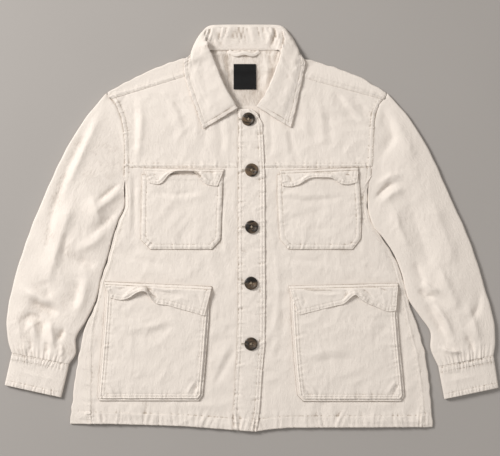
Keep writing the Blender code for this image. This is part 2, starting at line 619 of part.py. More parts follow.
def collar(finish):
    """One piece from the neck seam up to the roll and down to the outer edge, in stations along the neck."""
    rows = np.array([*COLLAR_LEFT_ROWS, COLLAR_MIDDLE_ROW, *COLLAR_RIGHT_ROWS], float)
    value = {name: rows[:, i] for i, name in enumerate(COLLAR_COLUMNS)}
    neck, roll, turn, edge = (
        np.stack([value[f"{part}_x"], value[f"{part}_y"]], axis=1)
        for part in ("neck", "roll", "turn", "edge")
    )
    rise, under = value["rise"], value["under"]
    half = COLLAR_CLOTH / 2
    behind = (under == 1)[:, None]
    rolled = (rise > 0)[:, None]
    outward = (turn - roll) / np.linalg.norm(turn - roll, axis=1, keepdims=True)
    inward = (edge - turn) / np.linalg.norm(edge - turn, axis=1, keepdims=True)
    base = front_top(neck[:, 0], neck[:, 1])
    neck_z = np.where(rise > 0, base - CLOTH / 2, COLLAR_LIFT + CLOTH / 2)
    roll_z = np.select([rise == 0, under == 1], [6.2, 7.6], base + 1.8 + rise)
    on_front = front_top(edge[:, 0], np.minimum(edge[:, 1], 309)) + 1.2 + half
    leaf_z = np.select([under == 1, under == 0.5], [half, 5.2], on_front)
    crest = np.where(rise > 0, roll_z + rise, 5.6)
    stations = [
        (neck, neck_z),
        (0.5 * neck + 0.5 * roll, 0.5 * neck_z + 0.5 * (roll_z - rise)),
        (np.where(rolled, roll + 1.5 * outward, 0.2 * neck + 0.8 * roll), roll_z - rise),
        (np.where(rolled, roll - 0.5 * outward, roll), roll_z),
        (np.where(rolled, roll + 1.5 * outward, 0.5 * roll + 0.5 * turn), crest),
        (0.35 * roll + 0.65 * turn, np.where(under == 1, crest - 0.7, 0.65 * crest + 0.35 * leaf_z)),
        (turn, np.where(under == 1, 0.45 * crest, 0.5 * crest + 0.5 * leaf_z)),
        (
            np.where(behind, turn + 2.2 * inward, 0.7 * turn + 0.3 * edge),
            np.where(under == 1, half, 0.3 * crest + 0.7 * leaf_z),
        ),
        (0.45 * turn + 0.55 * edge, np.where(under == 1, half, 0.1 * crest + 0.9 * leaf_z)),
        (edge, leaf_z),
    ]
    coarse = np.stack([np.concatenate([plan, z[:, None]], axis=1) for plan, z in stations], axis=1)
    fine = np.linspace(0, len(rows) - 1, 2 * len(rows) - 1)
    middle = smooth(np.arange(len(rows)), coarse.reshape(len(rows), -1), fine)
    middle = middle.reshape(len(fine), len(stations), 3)
    offset = half * normals(middle, False)
    outer, inner = middle + offset, middle - offset
    outer[..., 2] = np.maximum(outer[..., 2], 0)
    inner[..., 2] = np.maximum(inner[..., 2], 0)
    wall("collar", outer, inner, finish)


def pocket(name, rows, finish, lift, rim):
    """A patch pocket on the front. One with a rim stands on walls that come down to the front."""
    rows_y = np.array([row[0] for row in rows], float)
    if rim:
        y = np.r_[rows_y[:-1], rows_y[-2] - 3.5, rows_y[-1]]
    else:
        y = rows_y
    left = column(rows, POCKET_COLUMNS, "y", "left", y)
    right = column(rows, POCKET_COLUMNS, "y", "right", y)
    inset = rim / (right - left)
    inner = np.linspace(0, 1, 7)
    share = np.stack([np.r_[0, i + (1 - 2 * i) * inner, 1] if rim else inner for i in inset])
    x = left[:, None] + (right - left)[:, None] * share
    y = np.repeat(y[:, None], x.shape[1], axis=1)
    height = np.full(x.shape, float(lift))
    if rim:
        height[0] = 0.8
        height[:, [0, -1]] = 0
        height[-1] = 0
    bulge = 0.5 * np.sin(np.pi * share) * (height > 0)
    z = front_top(x, y) + GAP + CLOTH + height + bulge
    cloth(name, with_height(x, y, z), finish, drop=True)


def flap(name, top, rows, finish, lift):
    """A pocket flap: sewn along its top, lying on the pocket, with the middle of its edge curled up."""
    (x0, y0), (x1, y1) = top
    edge = dict(zip(FLAP_COLUMNS, np.array(rows, float).T))
    u = np.linspace(0, 1, 13)
    bottom_x = edge["x"][0] + (edge["x"][-1] - edge["x"][0]) * u
    bottom_y = smooth(edge["x"], edge["y"], bottom_x)
    curl = smooth(edge["x"], edge["curl"], bottom_x)
    v = np.array([0, 0.18, 0.55, 1])[:, None]
    x = (x0 + (x1 - x0) * u) * (1 - v) + bottom_x * v
    y = (y0 + (y1 - y0) * u) * (1 - v) + bottom_y * v
    rise = lift * step(0, 0.17, v) + curl * v**2
    z = front_top(x, y) + FLAP_GAP + CLOTH + rise
    cloth(name, with_height(x, y, z), finish, drop=True)


def pockets(finish):
    for side, rows in (("left", CHEST_POCKET_LEFT), ("right", CHEST_POCKET_RIGHT)):
        pocket(f"chest_pocket_{side}", rows, finish, 0, 0)
    for side, rows in (("left", LOWER_POCKET_LEFT), ("right", LOWER_POCKET_RIGHT)):
        pocket(f"lower_pocket_{side}", rows, finish, POCKET_RISE, POCKET_RIM)
    flap("chest_flap_left", ((-199, 110), (-51, 108)), CHEST_FLAP_LEFT, finish, CHEST_FLAP_RISE)
    flap("chest_flap_right", ((53, 106), (197, 112)), CHEST_FLAP_RIGHT, finish, CHEST_FLAP_RISE)
    flap("lower_flap_left", ((-271.5, -99), (-73.5, -108)), LOWER_FLAP_LEFT, finish, LOWER_FLAP_RISE)
    flap("lower_flap_right", ((69, -107), (270, -102)), LOWER_FLAP_RIGHT, finish, LOWER_FLAP_RISE)


def label_and_loop(black, finish):
    x0, x1, y0, y1 = LABEL
    x, y = np.meshgrid(np.linspace(x0, x1, 3), np.array([y0, 268, 280, 290, y1]))
    z = neck_lift(x, y) + CLOTH + LABEL_GAP + LABEL_CLOTH
    cloth("neck_label", with_height(x, y, z), black, LABEL_CLOTH, drop=True)
    path = np.array(LOOP_PATH, float)
    at = np.linspace(0, 1, 11)
    centre = along(path, at)
    way = np.gradient(centre, axis=0)
    across = np.stack([-way[:, 1], way[:, 0]], axis=1)
    across = across / np.linalg.norm(across, axis=1, keepdims=True)
    sides = np.array([-0.5, 0.5]) * LOOP_WIDTH
    x = centre[:, 0:1] + across[:, 0:1] * sides
    y = centre[:, 1:2] + across[:, 1:2] * sides
    height = centre[:, 2:3] + neck_lift(centre[:, 0:1], centre[:, 1:2]) + CLOTH + GAP
    z = np.repeat(height, 2, axis=1)
    cloth("hanger_loop", with_height(x, y, z), finish, LOOP_CLOTH, drop=True)


def buttons(finish):
    """Four-hole buttons, turned with a raised rim, lying on the placket."""
    cutters = bpy.data.collections["cutters"]
    hole_radius = BUTTON_HOLE / 2 * METRE
    for i, (x, y) in enumerate(BUTTON_CENTRES):
        lift = float(front_top(np.array(x, float), np.array(y, float))) + PLACKET_LIFT + BUTTON_GAP
        radius = BUTTON_WIDTH / 2
        rim = BUTTON_THICKNESS
        profile = [
            (0, rim - 1.2), (6, rim - 1.2), (9, rim), (radius - 0.7, rim - 0.5), (radius, rim - 1.6),
            (radius - 2, 0), (0, 0),
        ]
        bm = bmesh.new()
        line = [bm.verts.new((r * METRE, 0, z * METRE)) for r, z in profile]
        edges = [bm.edges.new(pair) for pair in zip(line, line[1:])]
        bmesh.ops.spin(bm, geom=line + edges, cent=(0, 0, 0), axis=(0, 0, 1), angle=2 * np.pi, steps=18)
        bmesh.ops.remove_doubles(bm, verts=bm.verts[:], dist=1e-6)
        made = finish_object(bm, f"button_{i + 1}", finish)
        made.location = (x * METRE, y * METRE, lift * METRE)
        hole = bmesh.new()
        for angle in np.radians([45, 135, 225, 315]):
            shift = HOLE_SPREAD * METRE * Vector((np.cos(angle), np.sin(angle), 0))
            bmesh.ops.create_cone(
                hole, cap_ends=True, segments=6, radius1=hole_radius, radius2=hole_radius,
                depth=12 * METRE, matrix=Matrix.Translation(shift),
            )
        mesh = bpy.data.meshes.new(f"holes_{i + 1}")
        hole.to_mesh(mesh)
        hole.free()
        cutter = bpy.data.objects.new(mesh.name, mesh)
        cutters.objects.link(cutter)
        cutter.location = made.location
        cutter.hide_render = True
        cutter.display_type = "WIRE"
        made.modifiers.new("holes", "BOOLEAN").object = cutter


def main():
    for old in list(bpy.data.objects):
        bpy.data.objects.remove(old)
    for name in ("denim_jacket", "cutters"):
        bpy.context.scene.collection.children.link(bpy.data.collections.new(name))
    denim = material("denim", (0.80, 0.74, 0.66), 0.9)
    black = material("label", (0.012, 0.012, 0.014), 0.8)
    horn = material("horn", (0.10, 0.06, 0.035), 0.35)
    back_body(denim)
    back_yoke(denim)
    fronts(denim)
    closing(denim)
    sleeves(denim)
    cuffs(denim)
    collar(denim)
    pockets(denim)
    label_and_loop(black, denim)
    buttons(horn)


main()
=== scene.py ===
# %% [markdown]
# # A denim jacket, laid flat
#
# The jacket lies on its back on a pale surface, buttoned, and the camera looks straight down on it.
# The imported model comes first: it fixes where every panel lies. Everything that is added here is
# cloth, thread, a label or a button on those same panels.

import bpy
import numpy as np
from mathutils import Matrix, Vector
from mathutils.bvhtree import BVHTree


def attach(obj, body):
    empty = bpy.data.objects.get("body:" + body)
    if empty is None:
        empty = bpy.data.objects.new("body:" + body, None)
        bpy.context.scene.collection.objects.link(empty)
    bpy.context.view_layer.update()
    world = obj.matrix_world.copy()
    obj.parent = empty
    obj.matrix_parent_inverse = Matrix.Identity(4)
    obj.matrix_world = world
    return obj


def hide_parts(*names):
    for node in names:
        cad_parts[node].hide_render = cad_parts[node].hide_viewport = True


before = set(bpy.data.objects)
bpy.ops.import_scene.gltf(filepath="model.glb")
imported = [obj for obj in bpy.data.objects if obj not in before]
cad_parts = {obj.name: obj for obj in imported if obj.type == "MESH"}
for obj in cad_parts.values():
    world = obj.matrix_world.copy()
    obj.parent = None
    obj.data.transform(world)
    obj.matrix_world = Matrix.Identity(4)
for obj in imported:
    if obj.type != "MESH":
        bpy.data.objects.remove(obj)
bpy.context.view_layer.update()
METRE = 0.001  # the tables are in millimetres


def put(name, data):
    """A new object of the scene that shows this data."""
    made = bpy.data.objects.new(name, data)
    bpy.context.scene.collection.objects.link(made)
    return made


# %% [markdown]
# The camera hangs above the middle of the photograph. A long lens keeps the cuffs and the collar
# as flat to the eye as they are in the picture. One pixel is 1.85 mm, so 500 pixels are 925 mm.

# %% Camera
PIXEL, ACROSS = 1.85, 500  # millimetres to a pixel, and pixels from left to right
MIDDLE_X, MEAN_HEIGHT = -3, 5  # the photograph's middle, and the height at which the scale is true
LENS, SENSOR = 85.0, 36.0
eye = put("camera", bpy.data.cameras.new("camera"))
eye.data.lens, eye.data.sensor_width, eye.data.clip_end = LENS, SENSOR, 20
eye.location = (MIDDLE_X * METRE, 0, ACROSS * PIXEL * METRE * LENS / SENSOR + MEAN_HEIGHT * METRE)
bpy.context.scene.camera = eye
print("camera", round(eye.location.z, 2), "m above the floor")

# %% [markdown]
# A seam on a garment is a smooth line through a few measured points. These helpers read such
# lines: a cubic whose slopes come from each point's neighbours, a plain line with corners, an
# s-shaped step from 0 to 1 that starts and ends without a corner, and a bell around a line.


# %% Curves through measured points
def smooth(knots, values, at):
    """Cubics between rising knots; the slope at each knot is taken from its neighbours."""
    knots, values = np.asarray(knots, float), np.asarray(values, float)
    slopes = np.gradient(values, knots, axis=0)
    at = np.clip(np.asarray(at, float), knots[0], knots[-1])
    first = np.clip(np.searchsorted(knots, at, side="right") - 1, 0, len(knots) - 2)
    span = knots[first + 1] - knots[first]
    part = (at - knots[first]) / span
    if values.ndim > 1:
        part, span = part[..., None], span[..., None]
    rest = 1 - part
    start = rest**2 * ((1 + 2 * part) * values[first] + part * span * slopes[first])
    end = part**2 * ((3 - 2 * part) * values[first + 1] - rest * span * slopes[first + 1])
    return start + end


def shares_of(points):
    """How far along its length each point of a line stands, from 0 to 1."""
    length = np.r_[0, np.cumsum(np.linalg.norm(np.diff(points, axis=0), axis=1))]
    return length / length[-1]


def along(points, at):
    """Points at these shares of the length of a smooth curve."""
    points = np.asarray(points, float)
    return smooth(shares_of(points), points, at)


def along_straight(points, at):
    """Points at these shares of the length of a line with corners."""
    points = np.asarray(points, float)
    return np.stack([np.interp(at, shares_of(points), points[:, i]) for i in range(2)], axis=1)


def numbers(text):
    """Rows of numbers from text: one row to a line, or several with semicolons between them."""
    rows = text.replace(";", "\n").split("\n")
    return [[float(part) for part in row.split()] for row in rows if row.strip()]


def fold_table(text):
    """Folds from text: each row has a fold's width and height, then x and y of its points."""
    return [(row[0], row[1], *zip(row[2::2], row[3::2])) for row in numbers(text)]


def unit(vectors):
    """Vectors of the last axis brought to length 1."""
    return vectors / np.maximum(np.linalg.norm(vectors, axis=-1, keepdims=True), 1e-9)


def curve_y(points, x):
    """A line's y where it crosses x."""
    points = np.asarray(points, float)
    return np.interp(x, points[:, 0], points[:, 1])


def curve_x(points, y):
    """A line's x where it crosses y."""
    points = np.asarray(points, float)
    order = np.argsort(points[:, 1])
    return np.interp(y, points[order, 1], points[order, 0])


def step(low, high, value):
    """3t^2 - 2t^3 between low and high."""
    part = np.clip((value - low) / (high - low), 0, 1)
    return part * part * (3 - 2 * part)


def bell(away, width):
    """exp(-(away / width)^2): 1 on a line, and faded out a few widths away from it."""
    return np.exp(-((away / width) ** 2))


def spaced(length, plain, fine, starts=0, ends=0):
    """Shares from 0 to 1 along a length: fine steps within starts and ends of its ends, plain between."""
    parts = [np.linspace(0, starts, max(int(starts / fine), 1) + 1)]
    parts.append(np.linspace(starts, length - ends, max(int((length - starts - ends) / plain), 1) + 1))
    parts.append(np.linspace(length - ends, length, max(int(ends / fine), 1) + 1))
    return np.unique(np.round(np.concatenate(parts), 6)) / length


print("a step halfway is", step(0, 1, 0.5))

# %% [markdown]
# These are the jacket's measured lines, the same that its solids are cut to: x to the viewer's
# right, y from the hem up to the collar.

# %% The cut of the jacket
CLOTH, FOLDED_CLOTH, COLLAR_CLOTH = 1.2, 1.8, 2.0  # thicknesses
GAP, HIDDEN_GAP = 0.4, 2.4  # what stays open at a seam that shows, and at one on the underside
FRONT_TOP, LOWEST_FRONT = 6.0, 3.0  # heights of the front's upper face
COLLAR_LIFT, PLACKET_LIFT = 2.8, 1.65  # of the back over the collar's fall, of the placket over the front
YOKE_SEAM_Y, CHEST_SEAM_Y, NECK_SEAM_Y = 150.0, 112.0, 328.6
SIDE_TOP, ARMHOLE_FOOT = 72, 96  # the side seams' highest measured row, and where they meet the armholes
HEM_START, HEM_LEVEL, PLACKET_LEVEL = -330, -372, -376  # rows bend from the first into the hem's curve
SIDE_COLUMNS = ("y", "outline_left", "seam_left", "seam_right", "outline_right")
SIDE_ROWS = np.array(numbers("""
72 -235.5 -229 207 215; 40 -233.5 -227 206 214; 12 -246.5 -238 211 220.5;
-25 -258.5 -249 236 246; -60 -266.5 -257 258 268; -100 -280.5 -271 270 281.5;
-140 -287.5 -283 279 291.5; -185 -309 -291 288 308; -230 -319 -295 300 321;
-290 -328.5 -296 309 329; -340 -334 -296 313 333.5; -372 -336.5 -296.5 314 335.5
"""))
ARMHOLE_LEFT = (
    (-270, 249), (-254, 231), (-243, 205), (-237.5, 173), (-236, 126), (-237, 96), (-242, 74),
)
ARMHOLE_RIGHT = (
    (252, 249), (240, 235), (230, 210), (226.5, 175), (225, 131), (221.5, 98), (219, 60),
)
SLEEVE_LEFT_OUTER = (
    (-270, 249), (-305, 207), (-342, 148), (-384, 59), (-419, -30), (-445, -119), (-453.5, -178),
    (-450, -212), (-444, -231),
)
SLEEVE_LEFT_INNER = (
    (-237.4, 74), (-234.9, 42), (-247.5, 12), (-258.2, -20), (-265.5, -50), (-276.0, -82), (-288.5, -134),
    (-306.5, -172), (-325, -204), (-326, -234), (-337, -251),
)
SLEEVE_RIGHT_OUTER = (
    (252, 249), (287, 210), (326, 148), (367, 59), (406, -30), (434, -119), (449, -176),
    (451, -212), (448, -235),
)
SLEEVE_RIGHT_INNER = (
    (216.0, 72), (215.8, 34), (225.5, 3), (244.5, -20), (264.0, -50), (276.8, -82), (290.6, -133),
    (311, -163), (331, -194), (331, -222), (345, -255.5),
)
CUFF_LEFT = ((-444, -232), (-457, -290), (-352, -313), (-337.5, -252))
CUFF_RIGHT = ((448, -236), (457, -295), (356.5, -316), (345.5, -256.5))
SHOULDER_FOLD = (
    (-270, 249), (-237, 268), (-195, 289), (-153, 306), (-126, 314), (-112, 315), (-84, 324), (-12, 328),
    (58, 324), (86, 315), (102, 312), (110, 311), (152, 298), (203, 279), (252, 249),
)
FORWARD_SEAM = ((-262, 238), (-86, 292), (65, 287), (243, 238))
NECK_LEFT = ((-25.5, 220), (-40, 224), (-57, 240), (-73, 266), (-86, 291.5))
NECK_RIGHT = ((15.7, 221), (23, 226), (38, 238), (54, 259), (65, 286.5))
HEM = (
    (-337, -362), (-262, -362), (-131, -366), (-36, -373), (9, -376), (26, -373), (67, -369), (336, -368),
)
PLACKET_LEFT = ((-34.5, -376), (-33, -325), (-27, -230), (-25, -165), (-25, 220))
PLACKET_RIGHT = (
    (9, -376), (15, -335), (19, -272), (24, -219), (25, -145), (24, 105), (20, 193), (10, 212), (1, 220),
)
BAND_RIGHT = ((0, -376), (8, -300), (15.7, -200), (15.7, 200))
CHEST_SEAM = ((-240, CHEST_SEAM_Y), (228, CHEST_SEAM_Y))
ARMHOLES = {"left": ARMHOLE_LEFT, "right": ARMHOLE_RIGHT}


ABOVE_SIDE = {  # where each side line goes between its highest measured row and the armhole
    "outline_left": (-235.5, -236.6), "seam_left": (-229, -236),
    "outline_right": (215, 221), "seam_right": (207, 220.6),
}


def side(name, y):
    """One of the body's side lines at these heights, carried on up to the armhole."""
    measured = np.interp(y, SIDE_ROWS[::-1, 0], SIDE_ROWS[::-1, SIDE_COLUMNS.index(name)])
    return np.where(y > SIDE_TOP, np.interp(y, (SIDE_TOP, ARMHOLE_FOOT), ABOVE_SIDE[name]), measured)


def between(left, right, rows, share):
    """x and y of level rows between two sides, with the same shares across in each."""
    x = left[:, None] + (right - left)[:, None] * share
    return x, np.repeat(rows[:, None], len(share), axis=1)


def to_hem(x, y, level=HEM_LEVEL):
    """Level rows bent into the curve of the hem over their last part."""
    return y + (curve_y(HEM, x) - level) * step(HEM_START, level, y)


print("sleeve", round(float(np.hypot(*np.diff(SLEEVE_LEFT_OUTER, axis=0).T).sum())), "mm along its edge")

# %% [markdown]
# Cloth that has been washed and laid down is never even. Three kinds of relief make it up: soft
# random bumps, long folds that are placed where the photograph shows them, and the small
# puckers that a row of stitches pulls up on both sides of itself.


# %% Relief of laid cloth
def noise(x, y, size, seed):
    """Gradient noise: random slopes on a square net, blended by 6t^5 - 15t^4 + 10t^3; about -1 to 1."""
    turn = np.random.default_rng(seed).uniform(0, 2 * np.pi, (64, 64))
    u, v = np.asarray(x) / size + 20.5, np.asarray(y) / size + 20.5
    i, j = np.floor(u).astype(int), np.floor(v).astype(int)
    a, b = u - i, v - j

    def corner(di, dj):
        angle = turn[(i + di) % 64, (j + dj) % 64]
        return np.cos(angle) * (a - di) + np.sin(angle) * (b - dj)

    blend_a = a**3 * (a * (6 * a - 15) + 10)
    blend_b = b**3 * (b * (6 * b - 15) + 10)
    low = corner(0, 0) * (1 - blend_a) + corner(1, 0) * blend_a
    high = corner(0, 1) * (1 - blend_a) + corner(1, 1) * blend_a
    return 1.6 * (low * (1 - blend_b) + high * blend_b)


def crumple(x, y, seed, size=44):
    """Soft creases: 1 - 2|n| of noise whose place is shifted by slower noise, plus some of half the size."""
    u = x + 0.4 * size * noise(x, y, 1.7 * size, seed + 1)
    v = y + 0.4 * size * noise(x, y, 1.7 * size, seed + 2)
    return 0.75 * (1 - 2 * np.abs(noise(u, v, size, seed + 3))) + 0.4 * noise(v, u, size / 2, seed + 4)


def rumple(x, y, seed):
    """The fine wrinkles of washed cloth: short ridges 16 and 8 mm apart, stronger in patches."""
    patch = 0.6 + 0.6 * noise(x, y, 60, seed + 9)
    fine = 1 - 2.4 * np.abs(noise(x * 1.25, y * 0.8, 15, seed + 5))
    return patch * (0.36 * fine + 0.2 * noise(x * 1.3, y * 0.75, 7, seed + 7))


def near_line(x, y, line):
    """Distance to a line with corners, positive to its left, and the length walked along it."""
    line = np.asarray(line, float)
    best = np.full(np.broadcast(x, y).shape, 1e9)
    signed, at = best.copy(), np.zeros_like(best)
    walked = 0.0
    for (x0, y0), (x1, y1) in zip(line[:-1], line[1:]):
        length = np.hypot(x1 - x0, y1 - y0)
        cos, sin = (x1 - x0) / length, (y1 - y0) / length
        on = np.clip((x - x0) * cos + (y - y0) * sin, 0, length)
        off_x, off_y = x - x0 - on * cos, y - y0 - on * sin
        away = np.hypot(off_x, off_y)
        closer = away < best
        best = np.where(closer, away, best)
        signed = np.where(closer, away * np.where(cos * off_y - sin * off_x >= 0, 1, -1), signed)
        at = np.where(closer, walked + on, at)
        walked += length
    return signed, at, walked


def folds(rows, x, y):
    """Each fold: height * exp(-(distance / width)^1.5), steeper on its left, fading to its ends."""
    lift = np.zeros(np.broadcast(x, y).shape)
    for width, height, *line in rows:
        away, at, length = near_line(x, y, line)
        share = at / length
        fade = 0.25 + 0.75 * step(0, 0.3, share) * (1 - step(0.65, 1, share))
        lift += height * fade * np.exp(-((np.abs(away) / (width * np.where(away > 0, 0.7, 1.2))) ** 1.5))
    return lift


def ripple(at, seed, size=10.0):
    """Four sines of unlike length with random starts: an uneven row of puckers."""
    start = np.random.default_rng(seed).uniform(0, 2 * np.pi, 4)
    parts = zip((0.68, 0.93, 1.41, 2.9), (0.8, 0.9, 0.6, 0.5), start)
    return sum(weight * np.sin(2 * np.pi * at / (size * share) + s) for share, weight, s in parts) / 1.6


def sewn(x, y, line, band, rows, seed, lift=0.7, pucker=0.5, reach=9.0, size=10.0):
    """A sewn band left of a line: raised by lift, pressed in along its rows, puckered over reach."""
    away, at, length = near_line(x, y, line)
    raised = lift * step(-0.6, 0.8, away) * (1 - step(band - 0.3, band + 1.6, away))
    pressed = sum(-0.7 * bell(away - row, 1.1) for row in rows)
    spread = np.where(away > band / 2, 0.8 * reach, 0.5 * reach) + band / 2
    strong = np.clip(0.9 + 0.35 * ripple(at, seed + 50, 55), 0.5, 1.3)
    slant = at + 0.3 * away * ripple(at, seed + 60, 90)
    waves = 1.45 * pucker * strong * ripple(slant, seed, size) * bell(away - band / 2, spread)
    return raised + pressed + waves


print("noise at one spot", round(float(noise(3.0, 4.0, 10, 1)), 3))

# %% [markdown]
# The front lies on the back with a little air between them. Its upper face is one function of x
# and y, and every panel, pocket and button that lies on it reads that function, so that they stay
# on each other whatever folds are added. Under the pockets it stays calm.

# %% The front's upper face
FRONT_FOLDS = fold_table("""
8 -2.6 -219 232 -216 196 -217 150 -221 122; 8 2.6 -205 232 -203 190 -207 150 -214 125;
7 -1.8 -143 236 -133 221 -128 205; 9 1.9 -160 246 -139 214 -124 165;
9 1.5 -108 240 -100 200 -104 150; 8 -1.2 -92 238 -84 190 -90 140; 6 -1.3 -60 200 -54 160 -58 130;
6 1.3 -48 210 -42 170 -45 125; 5 -1.8 -216 98 -216.5 50 -215 -12; 5 1.5 -224 92 -224 40 -226 -22;
12 1.4 -243 -70 -190 -80 -150 -86; 8 -1.5 -232 -50 -190 -64 -140 -66; 8 -1 -120 -52 -90 -70 -60 -94;
7 -1.7 -25 -217 -45 -250 -68 -292; 7 1.5 -36 -212 -58 -250 -80 -300; 6 1.2 -45 -60 -55 0 -47 60;
7 -1.9 152 251 180 215 202 188; 7 2 164 250 192 216 210 196; 8 -1.5 186 251 206 222 217 205;
7 -1.8 71 181 77 150 82 131; 8 1.6 60 190 66 150 70 128; 8 -1.5 141 216 146 180 147 158;
9 1.7 126 236 131 190 134 150; 10 1.2 96 250 101 200 106 150; 6 -1.5 34 200 37 160 33 125;
7 -1.9 210 88 217 50 204 20 216 -10; 7 -1.8 250 -19 262 -60 271 -100; 10 1.3 60 -62 140 -76 220 -82;
8 -1.2 40 -40 90 -60 150 -66; 6 1.2 40 -200 50 -120 44 -40; 6 -1.1 50 -240 58 -180 55 -120;
8 1.3 -150 -326 -60 -330 -40 -328
""")
CALM_BOXES = (
    (-203, -55, -38, 110), (49, 201, -38, 110), (-284, -79, -319, -100), (72, 282, -320, -102),
    (-27, 20, -376, 220),
)


def fall_edge_y(x):
    """The hidden lower edge of the collar's fall, behind the neck."""
    return 297 + 15 * ((x + 12) / 108) ** 2


def neck_lift(x, y):
    """How far the back is lifted near the neck, where the collar's fall lies under it."""
    fade = 1 - step(112, 138, np.abs(x + 12.5))
    return COLLAR_LIFT * fade * step(-17, -3, y - fall_edge_y(x))


def calm_at(x, y):
    """1 under the pockets and the placket, 0 elsewhere."""
    calm = np.zeros(np.broadcast(x, y).shape)
    for left, right, low, high in CALM_BOXES:
        away = np.maximum(np.maximum(left - x, x - right), np.maximum(low - y, y - high))
        calm = np.maximum(calm, 1 - step(-2, 7, away))
    return calm


def front_top(x, y):
    """Level, plus folds, random bumps and a soft swell, except where something lies on it."""
    x, y = np.broadcast_arrays(np.asarray(x, float), np.asarray(y, float))
    lift = folds(FRONT_FOLDS, x, y) + 1.2 * crumple(x, y, 11) + 0.8 * noise(x, y, 120, 31)
    lift = (lift + rumple(x, y, 12)) * (1 - calm_at(x, y)) * (1 - 0.7 * step(246, 262, y))
    return np.maximum(FRONT_TOP + lift, LOWEST_FRONT) + neck_lift(x, y)


print("front at its middle", round(float(front_top(-60.0, 0.0)), 2), "mm up")

# %% [markdown]
# Every panel is one closed shell: a grid of points for its outer face, a second grid just under
# it, and a rounded rim around the border. Working with whole arrays keeps that short: the border
# is made of the edges that no neighbour runs along the other way.


# %% A shell of cloth between two grids
def normals(points, closed=False):
    """Unit normals of a grid, from the cross product of its two slopes."""
    if closed:
        points = np.concatenate([points[:, -2:-1], points, points[:, 1:2]], axis=1)
    down, over = np.gradient(points, axis=0), np.gradient(points, axis=1)
    normal = np.cross(down, over)
    if closed:
        normal = normal[:, 1:-1]
    return unit(normal)


def walked(points, axis):
    """Length walked along the grid in one direction, from its middle line."""
    steps = np.linalg.norm(np.diff(points, axis=axis), axis=2)
    total = np.cumsum(steps, axis=axis)
    total = np.insert(total, 0, 0, axis=axis)
    return total - np.take(total, [total.shape[axis] // 2], axis=axis)


def add_mesh(name, points, faces, finish, uv=None, relief=None):
    """A smooth-shaded mesh of points in millimetres, with its cloth coordinates in metres."""
    mesh = bpy.data.meshes.new(name)
    mesh.from_pydata((np.asarray(points) * METRE).tolist(), [], faces)
    mesh.shade_smooth()
    if uv is not None:
        mesh.uv_layers.new(name="cloth").data.foreach_set("uv", (uv * METRE).astype(np.float32).ravel())
    if relief is not None:
        mesh.attributes.new("relief", "FLOAT", "POINT").data.foreach_set("value", relief.astype(np.float32))
    mesh.materials.append(finish)
    return put(name, mesh)


def shell(name, outer, inner, finish, relief, keep=None, closed=False, rim=0.45):
    """Outer and inner grids joined by a rim that stands out by rim times the thickness."""
    rows, columns = outer.shape[:2]
    place = np.arange(rows * columns).reshape(rows, columns)
    corners = (place[:-1, :-1], place[:-1, 1:], place[1:, 1:], place[1:, :-1])
    quads = np.stack(corners, axis=-1)
    quads = quads.reshape(-1, 4) if keep is None else quads[keep]
    flat_uv = np.stack([walked(outer, 1), walked(outer, 0)], axis=-1).reshape(-1, 2)
    uv = quads.copy()
    if closed:
        last = quads % columns == columns - 1
        quads = np.where(last, quads - columns + 1, quads)
    top, low = outer.reshape(-1, 3), inner.reshape(-1, 3)
    facing = np.cross(top[quads[:, 2]] - top[quads[:, 0]], top[quads[:, 3]] - top[quads[:, 1]])
    if (facing * (top - low)[quads[:, 0]]).sum() < 0:
        quads, uv, facing = quads[:, ::-1], uv[:, ::-1], -facing
    a, b = quads.ravel(), np.roll(quads, -1, axis=1).ravel()
    border = ~np.isin(a * rows * columns + b, b * rows * columns + a)
    uv_a, uv_b = uv.ravel()[border], np.roll(uv, -1, axis=1).ravel()[border]
    way = np.repeat(facing, 4, axis=0)[border]
    a, b = a[border], b[border]
    out = unit(np.cross(top[b] - top[a], way))
    edge, where = np.unique(np.r_[a, b], return_inverse=True)
    push = np.zeros((len(edge), 3))
    np.add.at(push, where, np.r_[out, out])
    push = unit(push)
    thick = np.linalg.norm(top[edge] - low[edge], axis=1, keepdims=True)
    middle = (top[edge] + low[edge]) / 2 + push * rim * thick
    middle[:, 2] = np.maximum(middle[:, 2], 0.02)
    count = rows * columns
    at_a, at_b = 2 * count + where[: len(a)], 2 * count + where[len(a) :]
    faces = np.concatenate([
        quads, quads[:, ::-1] + count, np.stack([b, a, at_a, at_b], axis=1),
        np.stack([at_b, at_a, a + count, b + count], axis=1),
    ])
    rim_uv = np.stack([uv_b, uv_a, uv_a, uv_b], axis=1)
    uv_of = np.concatenate([uv, uv[:, ::-1], rim_uv, rim_uv])
    points = np.concatenate([top, low, middle])
    tint = relief.reshape(-1)
    # the rim is painted darker than the faces: painted shade along every edge, with some edge wear
    tint = np.concatenate([tint, tint, tint[edge] - 1.0])
    used, faces_of = np.unique(faces, return_inverse=True)
    faces_of = faces_of.reshape(-1, 4).tolist()
    print(name, len(faces) * 2, "triangles")
    return add_mesh(name, points[used], faces_of, finish, flat_uv[uv_of.ravel()], tint[used])


def lying(x, y, z):
    """Plan points with their heights, as one grid."""
    return np.stack(np.broadcast_arrays(x, y, z), axis=-1).astype(float)


print("shells are made of outer face, inner face and rim")

# %% [markdown]
# The cloth is heavy cotton twill in its natural colour. Fine slanting ribs cross it and single thick
# yarns run down it. One node group makes these from the cloth's own coordinates, so that the ribs
# follow each panel round its folds. A second group paints the cloth lighter on every ridge and darker
# in every dip: partly the wear of washing, partly painted light and shade. Each finish places both
# groups with its own values.

# %% Node groups
def add_group(name, inputs, outputs):
    """An empty group of nodes with named sockets: (name, kind, value) in, and names of values out."""
    tree = bpy.data.node_groups.new(name, "ShaderNodeTree")
    for socket, kind, value in inputs:
        tree.interface.new_socket(socket, in_out="INPUT", socket_type=kind).default_value = value
    for socket, kind in outputs:
        tree.interface.new_socket(socket, in_out="OUTPUT", socket_type=kind)
    return tree, tree.nodes.new("NodeGroupInput"), tree.nodes.new("NodeGroupOutput")


